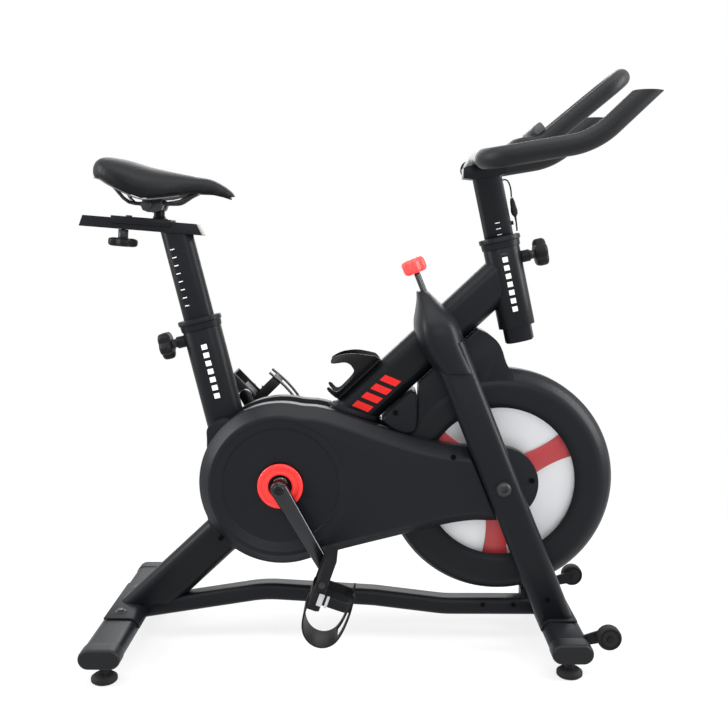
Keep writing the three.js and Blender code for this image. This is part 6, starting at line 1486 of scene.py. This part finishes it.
shell_edge = coated("shell edge", (0.05, 0.052, 0.056), 0.25, 500, 0.05, gloss=0.6)
half_bead = tube_along(lip_bead(), 1.3)
piece("saddle_edge_bead", merged(half_bead, flipped(half_bead)), shell_edge, "saddle", "cover_plastic")
dressed("saddle_base", soft_plastic, "saddle", "cover_plastic", bevel=0.5)
dressed("saddle_rails", dark_bolt, "saddle", "bare_steel", bevel=0)
dressed("saddle_clamp", dark_bolt, "saddle", "bare_steel", bevel=0.6)

# Handlebar: an oval post with the bent outer bar welded through it, both ends cut level and capped;
# foam sleeves cover the bar's arms and the inner loop, and a grey moulded ledge lies over the loop.
GRIP_RADIUS = 18
TUBE_RADIUS = 14
LOOP_RADIUS = 16
LOOP_HALF = 55
BAR_HALF = 193
GRIP_TOP = 1030  # height of the level cut
FOAM_START = 140  # from the bar's middle
ARM_WAY = Vector((math.cos(math.radians(43.5)), 0, math.sin(math.radians(43.5))))
foam = coated("closed cell foam", (0.0085, 0.009, 0.0102), 0.5, 1100, 0.25, dust=0.03, gloss=0.16, sheen=0.03)
foam_end = coated("cut foam end", (0.04, 0.042, 0.046), 0.65, 1100, 0.25, gloss=0.3)


def level_cut(shape, top):
    return carved(shape, box(-200, 900, -400, 400, top, top + 400))


side_corner = Vector((210, -BAR_HALF, 919))
outer_corner = Vector((386, -BAR_HALF, 948))
bar_end = outer_corner + ARM_WAY * ((GRIP_TOP - outer_corner.z) / ARM_WAY.z)
half_bar = bent([Vector((210, 0, 934.5)), side_corner, outer_corner, bar_end + ARM_WAY * 40], [50, 130])
whole_bar = [Vector((p.x, -p.y, p.z)) for p in half_bar[:0:-1]] + half_bar
piece("outer_bar_tube", level_cut(tube_along(whole_bar, TUBE_RADIUS, 40), GRIP_TOP), powder_coat, "handlebar",
      "frame_paint", ["outer_bar"], bevel=0.4)


def sleeve_places():
    """The part of the bar that foam covers, as far as the level cut."""
    places = []
    for before, after in zip(half_bar, half_bar[1:]):
        if after.y <= -FOAM_START:
            if before.y > -FOAM_START:
                places.append(before.lerp(after, (before.y + FOAM_START) / (before.y - after.y)))
            places.append(after)
    return places


grip_places = sleeve_places()
for side, sign in (("right", 1), ("left", -1)):
    places = [Vector((p.x, p.y * sign, p.z)) for p in grip_places]
    start_way = (places[1] - places[0]).normalized()
    sleeve = level_cut(tube_along([places[0] + start_way * 0.6] + places[1:], GRIP_RADIUS, 48), GRIP_TOP + 0.4)
    piece(f"{side}_foam_grip", sleeve, foam, "handlebar", "grip_foam", [f"grip_{side}"], bevel=1.6, segments=3)
    cap_place = Vector((bar_end.x, bar_end.y * sign, GRIP_TOP + TOUCH_GAP))
    cap_ring = [(x / ARM_WAY.z * 0.86, y * 0.86) for x, y in circle(GRIP_RADIUS, 48)]
    cap = skin([ring_at(cap_place + ALONG_Z * rise, ALONG_X, ALONG_Y, [(x * s, y * s) for x, y in cap_ring])
                for rise, s in ((0, 1), (0.5, 1), (0.7, 0.97), (0.7, 0.1))])
    piece(f"{side}_grip_end_face", cap, foam_end, "handlebar", "grip_foam")
LOOP_SIDE = ((279, 951, 26), (322, 957, 30), (470, 1078.5, 46))


def closed_loop(steps=14):
    """Points round the inner loop: three bends on each side, joined across at the rear and the front."""
    corners = [(Vector((x, -LOOP_HALF, z)), bend) for x, z, bend in LOOP_SIDE]
    corners += [(Vector((x, LOOP_HALF, z)), bend) for x, z, bend in LOOP_SIDE[::-1]]
    places = []
    for i, (corner, bend) in enumerate(corners):
        last, following = corners[i - 1][0], corners[(i + 1) % len(corners)][0]
        places += bent([last, corner, following], [bend], steps)[1:-1]
    return places


def ring_of_tube(places, radius, reference, sides=40):
    rings = []
    for i, place in enumerate(places):
        first, second = square_to((places[(i + 1) % len(places)] - places[i - 1]).normalized(), reference)
        rings.append(ring_at(place, first, second, circle(radius, sides)))
    return rings


loop_rings = ring_of_tube(closed_loop(), LOOP_RADIUS, square(-ARM_WAY))
piece("inner_foam_loop", skin(loop_rings, looped=True), foam, "handlebar", "grip_foam",
      ["inner_loop"], bevel=0)
ledge_grey = coated("dark grey moulding", (0.055, 0.057, 0.062), 0.42, 500, 0.1, gloss=0.4)
dressed("display_ledge", ledge_grey, "handlebar", "ledge_plastic", bevel=1.0)
bar_coat = printed(powder_coat, "bar post coat with ticks", (0.7, 0.7, 0.7), HEAD_MOUTH + HEAD_WAY * 8, HEAD_WAY,
                   square(HEAD_WAY), (24, 4.5, 11), (0.14, 0))
dressed("bar_post", bar_coat, "handlebar", "frame_paint", bevel=0.8)

# Sensor lead: a thin black cable and its plug, which hang between the handlebar and the beam; both keep the
# imported form and only take a rubber finish.
for node in ("sensor_cable", "cable_connector"):
    for cable in (o for o in bpy.data.objects if o.type == "MESH" and o.name.split(".")[0] == node):
        for part in cable.material_slots:
            part.material = rubber
